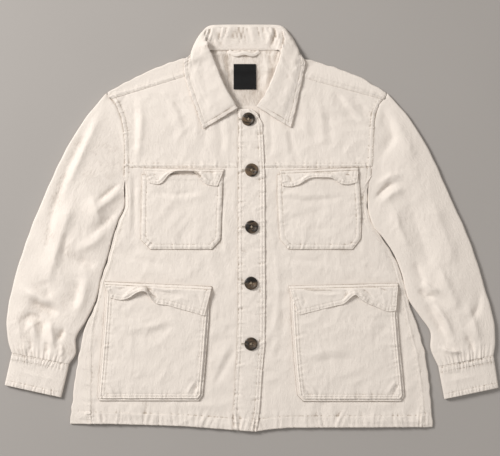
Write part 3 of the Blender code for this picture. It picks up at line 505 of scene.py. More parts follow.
def node(tree, kind, **settings):
    """A node with its settings; names that are inputs of it set those."""
    made = tree.nodes.new(kind)
    for name, value in settings.items():
        if name.startswith("in_"):
            made.inputs[name[3:].replace("_", " ")].default_value = value
        else:
            setattr(made, name, value)
    return made


def math(tree, kind, a, b):
    """One step of arithmetic between two sockets or numbers."""
    made = node(tree, "ShaderNodeMath", operation=kind)
    for socket, value in zip(made.inputs, (a, b)):
        if isinstance(value, (int, float)):
            socket.default_value = value
        else:
            tree.links.new(value, socket)
    return made.outputs[0]


def chained(tree, socket, *steps):
    """A socket led through nodes, from first output to first input; the last node."""
    for after in steps:
        tree.links.new(socket, after.inputs[0])
        socket = after.outputs[0]
    return steps[-1]


def twill_group():
    """Ribs: a slanting wave. Yarns and streaks: noise stretched down the cloth. Clouds: slow noise."""
    tree, given, out = add_group(
        "twill",
        [(name, "NodeSocketFloat", 0.5) for name in ("Ribs", "Yarns", "Streaks", "Clouds")],
        [("Height", "NodeSocketFloat"), ("Tone", "NodeSocketFloat")],
    )
    cloth = node(tree, "ShaderNodeUVMap", uv_map="cloth").outputs[0]
    place = node(tree, "ShaderNodeTexCoord").outputs["Object"]
    ribs = chained(
        tree, cloth, node(tree, "ShaderNodeMapping", in_Rotation=(0, 0, 0.6)),
        node(tree, "ShaderNodeTexWave", in_Scale=270, in_Distortion=2.0, in_Detail=1.0, in_Detail_Scale=0.6),
    )
    yarns = chained(
        tree, cloth, node(tree, "ShaderNodeMapping", in_Scale=(1100, 90, 1)),
        node(tree, "ShaderNodeTexNoise", in_Scale=1.0, in_Detail=2.0),
    )
    streaks = chained(
        tree, cloth, node(tree, "ShaderNodeMapping", in_Scale=(330, 120, 1)),
        node(tree, "ShaderNodeTexNoise", in_Scale=1.0, in_Detail=3.0, in_Roughness=0.6, in_Distortion=0.4),
    )
    clouds = node(tree, "ShaderNodeTexNoise", in_Scale=22.0, in_Detail=3.0, in_Roughness=0.55)
    tree.links.new(place, clouds.inputs[0])
    rib, yarn, streak, cloud = (
        math(tree, "MULTIPLY", texture.outputs["Fac"], given.outputs[name])
        for name, texture in (("Ribs", ribs), ("Yarns", yarns), ("Streaks", streaks), ("Clouds", clouds))
    )
    height = math(tree, "ADD", math(tree, "ADD", rib, yarn), streak)
    tree.links.new(height, out.inputs["Height"])
    tree.links.new(math(tree, "ADD", math(tree, "MULTIPLY", height, 0.5), cloud), out.inputs["Tone"])
    return tree


def wear_and_shade_group():
    """Painted light and shade, with some wear: lighter where the relief attribute is high and darker where it
    is low, in one value about 0.5.
    """
    tree, given, out = add_group(
        "wear_and_shade", [("Strength", "NodeSocketFloat", 0.2)], [("Worn_and_shaded", "NodeSocketFloat")],
    )
    relief = node(tree, "ShaderNodeAttribute", attribute_name="relief")
    scaled = math(tree, "MULTIPLY", relief.outputs["Fac"], given.outputs["Strength"])
    capped = chained(tree, math(tree, "ADD", scaled, 0.5), node(tree, "ShaderNodeClamp"))
    tree.links.new(capped.outputs[0], out.inputs[0])
    return tree


TWILL, WEAR_AND_SHADE = twill_group(), wear_and_shade_group()
print("groups", [g.name for g in bpy.data.node_groups])

# %% [markdown]
# A finish is a shader of its own around those groups. Its light tone and its dark tone are mixed
# by the cloth's tone and by its wear and painted light and shade, and the same height makes the bump.
# Cotton has no gloss: it is rough, with a faint sheen from its loose fibres.

# %% Finishes
def new_finish(name, **inputs):
    """A finish with these inputs of its shader set, and that shader."""
    made = bpy.data.materials.new(name)
    made.use_nodes = True
    shader = made.node_tree.nodes["Principled BSDF"]
    for socket, value in inputs.items():
        shader.inputs[socket.replace("_", " ")].default_value = value
    return made, made.node_tree, shader


def two_tones(tree, shader, socket, tones, positions=(0, 1)):
    """The shader's colour runs from the first tone to the second between two values of a socket."""
    ramp = node(tree, "ShaderNodeValToRGB")
    for element, position, tone in zip(ramp.color_ramp.elements, positions, tones):
        element.position, element.color = position, (*tone, 1)
    tree.links.new(socket, ramp.inputs[0])
    tree.links.new(ramp.outputs[0], shader.inputs["Base Color"])


def cloth_finish(name, slot, dark, light, wear_and_shade, bump, roughness=0.92, sheen=0.15, **weights):
    """A cotton shader: two tones mixed by tone and by wear and painted light and shade, and a bump from the
    twill, by its weights.
    """
    made, tree, shader = new_finish(
        name, Roughness=roughness, Sheen_Weight=sheen, Sheen_Roughness=0.5, Specular_IOR_Level=0.25,
    )
    weave = node(tree, "ShaderNodeGroup", node_tree=TWILL, **weights)
    wear_and_shade_tone = node(tree, "ShaderNodeGroup", node_tree=WEAR_AND_SHADE, in_Strength=wear_and_shade)
    both = math(tree, "ADD", math(tree, "MULTIPLY", weave.outputs["Tone"], 0.6), wear_and_shade_tone.outputs[0])
    two_tones(tree, shader, both, (dark, light), (0.55, 1.53))
    raised = node(tree, "ShaderNodeBump", in_Strength=bump, in_Distance=0.0006)
    tree.links.new(weave.outputs["Height"], raised.inputs["Height"])
    tree.links.new(raised.outputs[0], shader.inputs["Normal"])
    made["slot"] = slot
    return made


DENIM = cloth_finish(
    "ecru_twill", "denim", (0.43, 0.35, 0.28), (0.90, 0.822, 0.75),
    wear_and_shade=0.38, bump=0.9, in_Ribs=0.35, in_Yarns=0.5, in_Streaks=1.55, in_Clouds=1.1,
)
BLACK_LABEL_AND_SLIT_SHADE = cloth_finish(
    "black_label_and_slit_shade", "label", (0.003, 0.003, 0.003), (0.011, 0.011, 0.012),
    wear_and_shade=0.1, bump=0.6, roughness=0.8, sheen=0.03, in_Ribs=0.3, in_Yarns=0.8, in_Streaks=0.2, in_Clouds=0.4,
)
THREAD_WEIGHTS = {"in_Ribs": 0.1, "in_Yarns": 0.3, "in_Streaks": 0.3, "in_Clouds": 0.8}
THREAD, BUTTON_THREAD = (
    cloth_finish(name, "thread", *tones, wear_and_shade=0.1, bump=0.3, **THREAD_WEIGHTS)
    for name, tones in (
        ("cotton_thread", ((0.66, 0.58, 0.49), (0.92, 0.86, 0.78))),
        ("brown_thread", ((0.40, 0.32, 0.23), (0.66, 0.55, 0.42))),
    )
)
print("finishes", [m.name for m in bpy.data.materials if "slot" in m])

# %% [markdown]
# The seams come next, because they shape the panels beside them: the stitches press the cloth in,
# the layers of the seam stand up, and the thread draws the cloth into small waves. Every seam is a
# line with its sewn band on its left, the rows of stitches across that band, and its own unevenness.

# %% Seams
def outline_of(rows):
    """A pocket's sides and bottom: down its left side, along its bottom, and up its right side."""
    return [(left, y) for y, left, right in rows] + [(right, y) for y, left, right in rows[::-1]]


POCKETS = {  # y, left side, right side
    "chest_pocket_left": (
        (99, -203, -53), (60, -204, -54), (20, -204.5, -55.5), (-22, -205, -57), (-39.5, -187, -73),
    ),
    "chest_pocket_right": ((99, 47, 198), (60, 47, 201), (20, 49, 203), (-20, 52, 202), (-39.5, 68, 187)),
    "lower_pocket_left": (
        (-114, -270, -77), (-164, -273, -78), (-215, -277, -82), (-265, -281, -86), (-310, -285, -90),
        (-319.5, -281, -97),
    ),
    "lower_pocket_right": (
        (-114, 71, 269), (-164, 73, 270), (-215, 76, 274), (-265, 80, 279), (-310, 85, 283),
        (-320.5, 95, 276),
    ),
}
LEFT_SIDE_SEAM = [(row[2], row[0]) for row in SIDE_ROWS]
RIGHT_SIDE_SEAM = [(row[3], row[0]) for row in SIDE_ROWS[::-1]]
BACK_NECK = ((60, 323), (20, 327.5), (-14, 329), (-60, 328), (-84, 324))

# line, width of the band, rows across it, seed, lift, pucker, and on some the puckers' reach and size
SEAMS = {
    "hem": (HEM, 21, (21,), 1, 0.8, 0.95),
    "chest": (CHEST_SEAM, 8, (1.6, 7.6), 2, 0.8, 0.5, 5, 8.5),
    "forward": (FORWARD_SEAM, 8.5, (1.6, 8), 3, 0.9, 0.5, 4, 7),
    "armhole_left": (ARMHOLE_LEFT, 9, (1.8, 8.6), 4, 0.8, 0.45, 4, 7),
    "armhole_right": (ARMHOLE_RIGHT[::-1], 9, (1.8, 8.6), 5, 0.8, 0.45, 4, 7),
    "side_left": (LEFT_SIDE_SEAM[::-1], 7, (1.6, 6.8), 6, 0.8, 0.35),
    "side_right": (RIGHT_SIDE_SEAM[::-1], 7, (1.6, 6.8), 7, 0.8, 0.35),
    "placket_left": (PLACKET_LEFT[::-1], 7, (1.5, 7), 8, 0.4, 0.55),
    "placket_right": (PLACKET_RIGHT, 9, (3.5, 9), 9, 0.4, 0.55),
    "back_neck": (BACK_NECK, 8, (1.6, 7.6), 10, 0.7, 0.6),
    "cuff_left_top": ((CUFF_LEFT[3], CUFF_LEFT[0]), 12, (2, 11), 15, 0.5, 0.9, 3, 6.5),
    "cuff_left_low": ((CUFF_LEFT[1], CUFF_LEFT[2]), 9, (9,), 16, 0.5, 0.7, 3, 7.5),
    "cuff_right_top": ((CUFF_RIGHT[0], CUFF_RIGHT[3]), 12, (2, 11), 17, 0.5, 0.9, 3, 6.5),
    "cuff_right_low": ((CUFF_RIGHT[2], CUFF_RIGHT[1]), 9, (9,), 18, 0.5, 0.7, 3, 7.5),
}
POCKET_BANDS = {"chest": (9, (2, 9), 0.4, 0.45), "lower": (13, (8.4, 13), 0.2, 0.5)}
for seed, (name, rows) in enumerate(POCKETS.items(), start=11):
    band, places, lift, pucker = POCKET_BANDS[name[:5]]
    SEAMS[name] = (outline_of(rows), band, places, seed, lift, pucker)


def seams_at(names, x, y):
    """The relief of several seams, added."""
    total = np.zeros(np.broadcast(x, y).shape)
    for name in names:
        total += sewn(x, y, *SEAMS[name])
    return total


def seam_lines(names, x, y):
    """The tint of seams: below 0 on each row of stitches and in the joint, as painted shade with some dirt,
    and a little above it between, as painted light on the raised band.
    """
    total = np.zeros(np.broadcast(x, y).shape)
    for name in names:
        line, band, rows, *_ = SEAMS[name]
        away = near_line(x, y, line)[0]
        for row in (0.3, *rows):
            total -= 0.9 * bell(away - row, 1.1)
        total += 0.4 * bell(away - band / 2, 0.3 * band)
    return total


print(len(SEAMS), "seams")

# %% [markdown]
# The back is one piece of cloth under everything: flat on the floor, and brought up over both side
# edges to the side seams, which lie on the face of the jacket. The yoke does the same over the
# shoulders. Each is one grid that runs across the face, round the edge and back along the floor.

# %% Back
PIECES = {}


def cloth(name, outer, inner, tint, flat, area, held="laid", rests_on=(), finish=DENIM, **shape):
    """A shell that stands for the solid of its name, hides that solid and moves with the jacket."""
    piece = shell(f"{name}_cloth", outer, inner, finish, tint, **shape)
    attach(piece, "root")
    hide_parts(name)
    PIECES[name] = piece


TURN = np.radians(np.linspace(75, -75, 8))  # round an edge of the back, from its face to its underside
SIDE_RADIUS, SHOULDER_RADIUS = 2.7, 2.8
INSIDE_DARKER = 0.85  # the tint taken off inside the neck, which lies in shade


def back_body():
    """Rows down the body; columns from the left seam over the edge, along the floor, to the right seam."""
    rows = np.r_[
        np.linspace(YOKE_SEAM_Y - GAP, 98, 12), np.arange(96, -320, -3.4),
        np.arange(-322, HEM_LEVEL, -2.0), HEM_LEVEL,
    ]
    armhole = rows > ARMHOLE_FOOT + 0.5
    share = np.linspace(0, 1, 14)
    ease = step(0.2, 1, share)
    halves = []
    for place, sign, seed in (("left", -1, 3), ("right", 1, 4)):
        edge = side(f"outline_{place}", rows) + 0.7 * ripple(rows, seed, 34)
        edge = np.where(armhole, curve_x(ARMHOLES[place], rows) - sign * HIDDEN_GAP, edge)
        radius = SIDE_RADIUS * (1 - 0.25 * step(-352, HEM_LEVEL, rows))
        middle = edge - sign * radius
        x, y = between(side(f"seam_{place}", rows) + sign * GAP, middle, rows, share)
        high = front_top(x, y) + seams_at([f"side_{place}", "hem"], x, y)
        z = high * (1 - ease) + 2 * radius[:, None] * ease
        turn_x = middle[:, None] + sign * radius[:, None] * np.cos(TURN)
        turn_z = radius[:, None] * (1 + np.sin(TURN))
        halves.append((np.c_[x, turn_x, middle], np.c_[z, turn_z, 0 * middle]))
    (left_x, left_z), (right_x, right_z) = halves
    floor_x, _ = between(left_x[:, -1], right_x[:, -1], rows, np.linspace(0, 1, 62)[1:-1])
    x = np.c_[left_x, floor_x, right_x[:, ::-1]]
    y = to_hem(x, np.repeat(rows[:, None], x.shape[1], axis=1))
    z = np.c_[left_z, np.zeros_like(floor_x), right_z[:, ::-1]]
    z = np.where(z <= 0, np.maximum(0.5 * crumple(x, y, 61, 60) - 0.15, 0), z)
    keep = np.ones((len(rows) - 1, x.shape[1] - 1), bool)
    high, wide = int(armhole.sum()), left_x.shape[1] - 1
    keep[:high, :wide] = keep[:high, -wide:] = False
    outer = lying(x, y, z)
    # the seams' relief as tint, on the face only: raised cloth painted lighter and pressed rows darker, as
    # painted light and shade
    tint = seams_at(["side_left", "side_right", "hem"], x, y) * (z > 3)
    cloth("back_body", outer, outer + CLOTH * normals(outer), tint, (0.72, 0.53), 0.335, "folded", keep=keep)


NECK_FOLDS = fold_table("""
4 1.6 24 322 30 296 27 262; 5 -1.2 32 322 38 296 33 262; 5 1.5 -58 322 -52 290 -44 262;
5 -1.2 -50 322 -44 290 -38 262; 6 1.3 38 310 34 288 22 262; 5 1.2 -68 318 -66 300 -58 285;
5 -1.1 16 300 12 270 4 245
""")


def back_yoke():
    """Rows from the forward seam over the shoulder fold and down the back to the yoke seam."""
    x = np.r_[np.linspace(-266, -86, 78), np.linspace(-86, 60, 61)[1:], np.linspace(60, 248.5, 82)[1:]]
    across = (x - x[0]) / (x[-1] - x[0])
    ridge = curve_y(SHOULDER_FOLD, x) + 0.6 * ripple(x, 5, 30)
    seam = curve_y(FORWARD_SEAM, x) + GAP
    radius = SHOULDER_RADIUS
    rows = []
    for share in spaced(30, 1.6, 0.9, 11, 0):
        y = seam + share * (ridge - radius - seam)
        at = np.clip(x, curve_x(ARMHOLE_LEFT, y) + GAP, curve_x(ARMHOLE_RIGHT, y) - GAP)
        high = front_top(at, y) + seams_at(["forward", "armhole_left", "armhole_right"], at, y)
        ease = step(0.35, 1, share)
        rows.append((at, y, high * (1 - ease) + (2 * radius + neck_lift(at, y)) * ease))
    for angle in TURN:
        height = neck_lift(x, ridge) + radius * (1 + np.sin(angle))
        rows.append((x, ridge - radius + radius * np.cos(angle), height))
    turned = len(rows)
    top = np.where((x > -85.9) & (x < 59.9), NECK_SEAM_Y, ridge - radius)
    ramp = np.minimum(fall_edge_y(x) - 17, top - 19)
    behind = np.minimum(fall_edge_y(x) - 3, top - 5)
    levels = [a + (b - a) * s for a, b in ((top, behind), (behind, ramp)) for s in np.linspace(0, 1, 9)[:-1]]
    levels += [ramp + (YOKE_SEAM_Y - ramp) * s for s in np.linspace(0, 1, 28)]
    for y in levels:
        low, far = curve_x(ARMHOLE_LEFT, y) + HIDDEN_GAP, curve_x(ARMHOLE_RIGHT, y) - HIDDEN_GAP
        near = step(0.02, 0.2, across) * (1 - step(0.8, 0.98, across)) * step(240, 262, y)
        at = near * x + (1 - near) * (low + across * (far - low))
        rows.append((at, y, neck_lift(at, y)))
    points = np.stack([lying(*row) for row in rows])
    keep = np.ones((len(rows) - 1, len(x) - 1), bool)
    keep[:turned, (x[:-1] >= -86) & (x[1:] <= 60)] = False
    inner = points + CLOTH * normals(points)
    x, y = points[..., 0], points[..., 1]
    on_face = (np.arange(len(rows)) < turned)[:, None]
    inside = ~on_face & (y > 225)
    dent = folds(NECK_FOLDS, x, y) + 0.5 * crumple(x, y, 71, 26) + seams_at(["back_neck"], x, y)
    inner[..., 2] += np.where(inside, np.maximum(dent, -0.4), 0)
    # painted light and shade: the forward seam's relief on the face, and inside the neck painted shade plus
    # its folds painted lighter on ridges and darker in dips
    tint = seams_at(["forward"], x, y) * on_face + inside * (0.42 * dent - INSIDE_DARKER)
    cloth("back_yoke", points, inner, tint, (0.52, 0.24), 0.099, "folded", keep=keep)


back_body()
back_yoke()

# %% [markdown]
# The fronts lie on the back. Each is a grid between two measured edges, with its columns close
# together beside the sewn edges, where the relief is finest. Its height is the front's function
# plus the seams that cross it.

# %% Fronts
def front_sheet(name, x, y, seams, flat, area, rests_on):
    """A panel of the front: its face is front_top plus its seams, and its cloth hangs straight down."""
    relief = seams_at(seams, x, y)
    outer = lying(x, y, front_top(x, y) + relief)
    away = np.minimum(*(np.abs(near_line(x, y, line)[0]) for line in ARMHOLES.values()))
    # painted shade: darker near the armholes and round the pockets; the folds painted lighter on their
    # ridges, random tone from noise, and the seams' relief painted as light and shade
    shade = 0.35 * noise(x, y, 45, 71) + 0.15 * folds(FRONT_FOLDS, x, y) - 0.5 * bell(away, 16)
    for rows in POCKETS.values():
        shade = shade - 0.45 * bell(np.abs(near_line(x, y, outline_of(rows))[0]), 9)
    tint = relief + seam_lines(seams, x, y) + shade + 0.1
    cloth(name, outer, outer - (0, 0, CLOTH), tint, flat, area, rests_on=rests_on)


def chest(place, foot, head, neck, flat, area):
    """Above the chest seam, between armhole and neckline, whose corner is one of the rows."""
    corner = 0.534  # its share of the way up
    above = corner + (1 - corner) * np.linspace(0, 1, 36)
    at = np.r_[spaced(corner * 190, 2.6, 1.0, 11) * corner, above[1:]]
    edge = [p for p in ARMHOLES[place] if p[1] > CHEST_SEAM_Y][::-1][:-1]
    outer = along([(foot, CHEST_SEAM_Y), *edge, (head, 237.5)], at) - (np.sign(foot) * GAP, 0)
    ends, fine = [outer, along_straight(neck, at)], [12, 3]
    if place == "right":
        ends, fine = ends[::-1], fine[::-1]
    plan = ends[0][:, None] + (ends[1] - ends[0])[:, None] * spaced(200, 2.5, 0.9, *fine)[None, :, None]
    x, y = plan[..., 0], plan[..., 1]
    seams = ["chest", "forward", f"armhole_{place}"]
    front_sheet(f"front_chest_{place}", x, y, seams, flat, area, ["back_yoke", "back_body"])


def body(place, ends, length, fine, flat, area):
    """Below the chest seam, from the side seam to the opening."""
    x, y = between(*ends, BODY_ROWS, spaced(length, 2.85, 1.2, *fine))
    seams = ["chest", "hem", f"side_{place}", f"armhole_{place}"]
    front_sheet(f"front_body_{place}", x, to_hem(x, y), seams, flat, area, ["back_body"])


def body_edge(place, inward):
    """The side seam, and above it the armhole."""
    hole = curve_x(ARMHOLES[place], BODY_ROWS) + inward
    return np.where(BODY_ROWS > ARMHOLE_FOOT, hole, side(f"seam_{place}", BODY_ROWS))


BODY_ROWS = np.r_[np.arange(CHEST_SEAM_Y - GAP, -344, -2.85), np.arange(-345, HEM_LEVEL, -1.3), HEM_LEVEL]
chest("left", -236.3, -261, [(-25.5, CHEST_SEAM_Y), *NECK_LEFT], (0.235, 0.185), 0.0318)
chest("right", 222.9, 242.5, [(15.7, CHEST_SEAM_Y), *NECK_RIGHT], (0.225, 0.185), 0.0315)
ends = body_edge("left", GAP), curve_x(PLACKET_LEFT, BODY_ROWS) - GAP
body("left", ends, 260, (6, 3), (0.27, 0.485), 0.1175)
ends = curve_x(BAND_RIGHT, BODY_ROWS), body_edge("right", -GAP)
body("right", ends, 290, (3, 6), (0.31, 0.485), 0.1285)

# %% [markdown]
# The left front closes over the right one. Its edge is a strip of doubled cloth that lies on the
# button band, sewn down along both edges, with the buttonholes through it.

# %% Placket and button band
def strip(name, left, right, rows, share, height, seams, flat, area):
    """A long strip on the front, with its seams and the small wrinkles between them."""
    x, y = between(left, right, rows, share)
    y = to_hem(x, y, PLACKET_LEVEL)
    relief = seams_at(seams, x, y) + 0.7 * crumple(x, y, 17, 30) + 1.1 * rumple(x, y, 16)
    outer = lying(x, y, front_top(x, y) + height + relief)
    # the relief as tint: ridges painted lighter, and dips and stitched rows darker, as painted light and
    # shade
    tint = relief + 0.6 * seam_lines(seams, x, y)
    under = ["front_body_left", "front_body_right"]
    cloth(name, outer, outer - (0, 0, CLOTH), tint, flat, area, rests_on=under)


rows = np.r_[np.arange(PLACKET_LEVEL, -350, 1.5), np.arange(-349, 219, 2.3), 219.5]
share = spaced(50, 2.2, 0.9, 10, 12)
strip(
    "placket", curve_x(PLACKET_LEFT, rows), curve_x(PLACKET_RIGHT, rows), rows, share,
    PLACKET_LIFT + 0.5 * np.sin(np.pi * share), ["placket_left", "placket_right", "hem"],
    (0.052, 0.6), 0.0288,
)
rows = rows[::2]
band_edge = np.minimum(curve_x(BAND_RIGHT, rows) - GAP, curve_x(PLACKET_RIGHT, rows) - 1)
strip(
    "button_band", curve_x(PLACKET_LEFT, rows) + 8, band_edge, rows, np.linspace(0, 1, 9), 0.0, ["hem"],
    (0.037, 0.6), 0.0195,
)

# %% [markdown]
# A sleeve that lies flat is a tube pressed down: its underside rests on the floor, both its edges
# round over, and its upper side carries most of the folds, because an arm-shaped tube never lies
# quite flat. One ring of points runs round it, and the rings follow each other from the armhole
# down to the cuff, where the cloth is gathered.

# %% Sleeves
SLEEVE_FOLDS = fold_table("""
10 -3 -292 214 -310 178 -342 112 -368 42 -373 10 -380 -30; 12 2.6 -276 224 -292 190 -322 120 -345 70;
16 3.4 -330 52 -352 -16 -371 -82 -380 -110; 9 -1.6 -341 -4 -346 -35 -349 -62;
5 -2.8 -244 80 -262 65 -284 48; 9 2.2 -240 66 -262 48 -292 26; 10 -2.6 -239 36 -268 8 -304 -20;
12 2.2 -296 62 -284 30 -276 0; 12 2.2 -262 -8 -290 -30 -326 -44; 10 -2.4 -284 -78 -300 -66 -324 -56;
14 2.6 -303 -92 -308 -130 -320 -164; 12 -3 -318 -96 -322 -125 -328 -152;
12 -2.2 -384 -92 -377 -118 -372 -136; 10 3 -424 -112 -394 -126 -360 -142;
10 -3.6 -416 -130 -388 -144 -350 -160; 8 -2.8 -430 -172 -411 -161 -396 -164 -386 -180 -388 -206;
8 2.2 -418 -188 -404 -178 -397 -204; 5 -3.4 -344 -188 -349 -198 -356 -208;
8 2.4 -372 -170 -366 -200 -362 -226; 9 1.6 -440 -160 -432 -180 -430 -205;
4 -2 -378 -208 -376 -222 -378 -236; 4 -2 -410 -206 -408 -218 -412 -230;
4 2 -350 -214 -346 -228 -350 -242; 10 -2.6 238 230 254 196 263 170 238 130;
16 2.2 262 212 285 170 304 120; 5 -3 228 54 250 76 268 84; 9 2.6 240 48 262 66 284 74;
5 2.2 234 82 256 96 278 98; 18 -1.8 292 50 312 -20 334 -82; 18 2 330 60 358 -10 380 -76;
10 2 262 34 272 -2 292 -44; 10 -2.2 300 -60 312 -92 318 -120; 13 2.2 345 -70 368 -120 384 -156;
5 -3 306 -112 322 -126 340 -130; 5 2.4 312 -98 330 -112 350 -118; 9 -3.2 322 -140 340 -170 356 -204;
9 2.6 335 -138 356 -170 372 -204; 4 3 346 -222 366 -228 388 -229; 10 2 400 -140 414 -180 424 -212;
5 -2.4 396 -196 408 -214 412 -230; 9 -2.2 430 -110 420 -150 400 -176
""")
SLEEVE_LENGTH = 520
CUFF_FOLDS = fold_table("""
4 -1 349 -273 372 -269 392 -268; 5 1 352 -284 380 -280 420 -272; 5 0.9 -440 -262 -400 -272 -352 -284
""")


def tube(name, plan, top, thickness, waves, tint, flat, area, held="laid"):
    """Rings round a flat tube: underside, one rounded edge, upper side with its tint, the other edge."""
    across = unit(plan[:, -1] - plan[:, 0])[:, None]
    share = np.linspace(0, 1, plan.shape[1])
    first, last = top[:, :1, None] / 2, top[:, -1:, None] / 2
    angle = np.radians(np.linspace(-90, 90, 9)[1:-1])[None, :, None]
    ends = ((plan[:, -1:] - across * last * (1 - np.cos(angle)), last), (
        plan[:, :1] + across * first * (1 - np.cos(angle)), first))
    rise, fall = (np.concatenate([xy, half * (1 + np.sin(angle))], axis=2) for xy, half in ends)
    inset = plan + across * (first * (1 - share[:, None]) - last * share[:, None])
    lead = np.concatenate([inset, top[..., None]], axis=2)
    below = lead[:, np.unique(np.linspace(0, len(share) - 1, 26).astype(int))].copy()
    under = np.maximum(waves * crumple(below[..., 0], below[..., 1], 81, 50) - 0.2, 0)
    under[:, [0, -1]] = 0
    below[..., 2] = under
    outer = np.concatenate([below, rise, lead[:, ::-1], fall[:, ::-1], below[:, :1]], axis=1)
    columns = below.shape[1]
    normal = normals(outer, True)
    if (normal[:, columns // 2, 2]).mean() > 0:
        normal = -normal
    inner = outer - thickness * normal
    inner[:, :columns, 2] = below[..., 2] + thickness
    inner[:, -1, 2] = inner[:, 0, 2]
    relief = np.zeros(outer.shape[:2])
    upper = columns + rise.shape[1]
    relief[:, upper : upper + len(share)] = tint[:, ::-1]
    cloth(name, outer, inner, relief, flat, area, held, closed=True)


def sleeve(place, outer, inner, area, wrinkles_and_shade):
    """Across it s runs from the outer edge, down it v from the armhole, whose curve it leaves slowly."""
    v, s = spaced(SLEEVE_LENGTH, 2.7, 1.6, 6, 30), np.linspace(0, 1, 58)
    away = v[:, None] * SLEEVE_LENGTH
    hole = along(ARMHOLES[place], s)
    bend = hole - hole[0] - (hole[-1] - hole[0]) * s[:, None]
    inner_edge, outer_edge = along(inner, v)[:, None], along(outer, v)[:, None]
    uneven = 0.4 * ripple(v * SLEEVE_LENGTH, 31, 55)[:, None, None]
    outer_edge = outer_edge + uneven * np.sign(outer_edge[0, 0, 0]) * (1, 0)
    straight = outer_edge + (inner_edge - outer_edge) * s[None, :, None]
    plan = straight + (np.clip(1 - v / 0.4, 0, 1) ** 2)[:, None, None] * bend
    x, y = plan[..., 0], plan[..., 1]
    v, s = v[:, None], s[None]
    crown = 1 - np.abs(2 * s - 1) ** 5
    edge = FRONT_TOP + 1.4 * step(0.02, 0.2, v)
    swell = 3.0 * (1 - (2 * s - 1) ** 2) * step(0.02, 0.3, v) * (1 - 0.4 * step(0.85, 1, v))
    creases = folds(SLEEVE_FOLDS, x, y)
    wild = 1.95 * creases + wrinkles_and_shade * (1.6 * crumple(x, y, 41, 62) + 1.2 * noise(x, y, 130, 46))
    wild = wild + 0.9 * rumple(x, y, 43)
    gather = 1.5 * ripple(s * 110, 55, 8.5) * bell(SLEEVE_LENGTH - away, 22)
    seed = SEAMS[f"armhole_{place}"][3]
    hole_waves = 0.5 * ripple(shares_of(hole) * 190, seed) * bell(away, 9)
    free = edge + swell + (wild * step(0, 26, away) + gather + hole_waves) * crown
    near = 1 - step(0, 14, away)
    top = front_top(x[0], y[0]) * near + free * (1 - near) - 2.2 * bell(away, 1.6)
    plan[0] += 1.6 * unit(plan[0] - plan[3])
    # painted light and shade: the folds a little lighter on their ridges and darker in their valleys, and the
    # upper side painted darker the more wrinkled the sleeve is made, as painted shade that takes off some of
    # the window's light on the left sleeve
    tint = 0.1 * creases + 0.9 - 1.25 * wrinkles_and_shade
    tube(f"sleeve_{place}", plan, np.maximum(top, 4.0), CLOTH, 0.5, tint, (0.33, 0.53), area)


def cuff(place, corners, area):
    """A short wide tube of doubled cloth, its rows of stitches and their puckers on its upper side."""
    top_out, low_out, low_in, top_in = np.array(corners, float)
    down = spaced(60, 1.7, 0.9, 13, 13)[:, None]
    outer, inner = top_out + (low_out - top_out) * down, top_in + (low_in - top_in) * down
    s = np.linspace(0, 1, 64)[None, :, None]
    plan = (1 - s) * outer[:, None] + s * inner[:, None]
    x, y = plan[..., 0], plan[..., 1]
    names = [f"cuff_{place}_top", f"cuff_{place}_low"]
    seam, lines = seams_at(names, x, y), 0.5 * seam_lines(names, x, y)
    crown = 1 - np.abs(2 * s[..., 0] - 1) ** 6
    bend = folds(CUFF_FOLDS, x, y)
    top = 7.0 + 1.2 * crown + (seam + bend + 0.5 * crumple(x, y, 47, 30)) * (0.3 + 0.7 * crown)
    # the tint: seams and folds painted lighter where raised and darker in the pressed rows, as painted light
    # and shade
    tint = seam + 0.3 * bend + lines
    tube(f"cuff_{place}", plan, top, FOLDED_CLOTH, 0.3, tint, (0.225, 0.064), area, "folded")


# the last number sets each sleeve's wrinkles and how much darker its upper side is painted
sleeve("left", SLEEVE_LEFT_OUTER, SLEEVE_LEFT_INNER, 0.148, 1.0)
sleeve("right", SLEEVE_RIGHT_OUTER, SLEEVE_RIGHT_INNER, 0.144, 0.65)
cuff("left", CUFF_LEFT, 0.0138)
cuff("right", CUFF_RIGHT, 0.0135)

# %% [markdown]
# The collar is worked in stations along the neck. Each one runs from the neck seam up to the roll
# and down to the outer edge. At the sides it lies open on the chest, and behind the neck its fall
# goes under the back. A smooth curve through the stations gives as fine a grid as the relief needs.

# %% Collar
COLLAR_COLUMNS = (
    "neck_x", "neck_y", "roll_x", "roll_y", "turn_x", "turn_y", "edge_x", "edge_y", "rise", "under",
)
COLLAR_ROWS = np.array(numbers("""
-31 225 -27 221 -58 202 -89 184 2 0; -44 233 -38 238 -68 221 -98 207 2.6 0;
-56 243 -49 257 -78 241 -107 233 2.9 0; -66 258 -58 277 -88 262 -115 257 3 0;
-76 276 -67 300 -97 285 -122 281 3 0; -82 290 -75 319 -103 301 -124 299 3 0;
-83 302 -79 329 -105 313 -122.5 310 3 0; -83 311 -82 338 -108 327 -116.5 316 2.8 0.5;
-82 320 -86 350 -104 343 -105 315 2.2 1; -79 329 -86 362 -92 361 -88 308 1 1;
-70 329.5 -76 364 -78 373 -68 303 0 1; -50 329.5 -51 368 -51 375 -48 299 0 1;
-14 329.5 -14 368 -14 375 -14 297 0 1; 20 329.5 23 368 23 375 20 299 0 1;
42 329.5 50 364 54 373 44 302 0 1; 51 328.9 60 360 68 360 62 308 1 1;
56 320 60 348 79 343 79 315 2.2 1; 57 311 58 336 84.5 327 91.5 317 2.8 0.5;
58 302 56 326 81 312 97 309 3 0; 59 290 54 316 79 300 98 298 3 0;
55 276 48 298 75 283 94 279 3 0; 46 258 40 275 68 261 89 257 3 0;
37 245 31 255 60 241 84 234 2.9 0; 26 233 21 238 52 221 78 209 2.6 0;
17 227 11 224 43 204 72 186.5 2 0
"""))
COLLAR_FOLDS = fold_table("""
3.5 2.2 26 332 33 350 37 372; 3 -2.4 32 332 40 350 44 370; 3.5 2.2 40 332 47 348 52 364;
3 1.2 -62 334 -68 352 -72 368; 3.5 -1.2 -56 332 -60 350 -62 368; 5 0.8 -30 334 -28 352 -32 370;
6 0.8 2 334 6 352 4 370; 5 -0.7 -12 338 -10 356 -12 372
""")


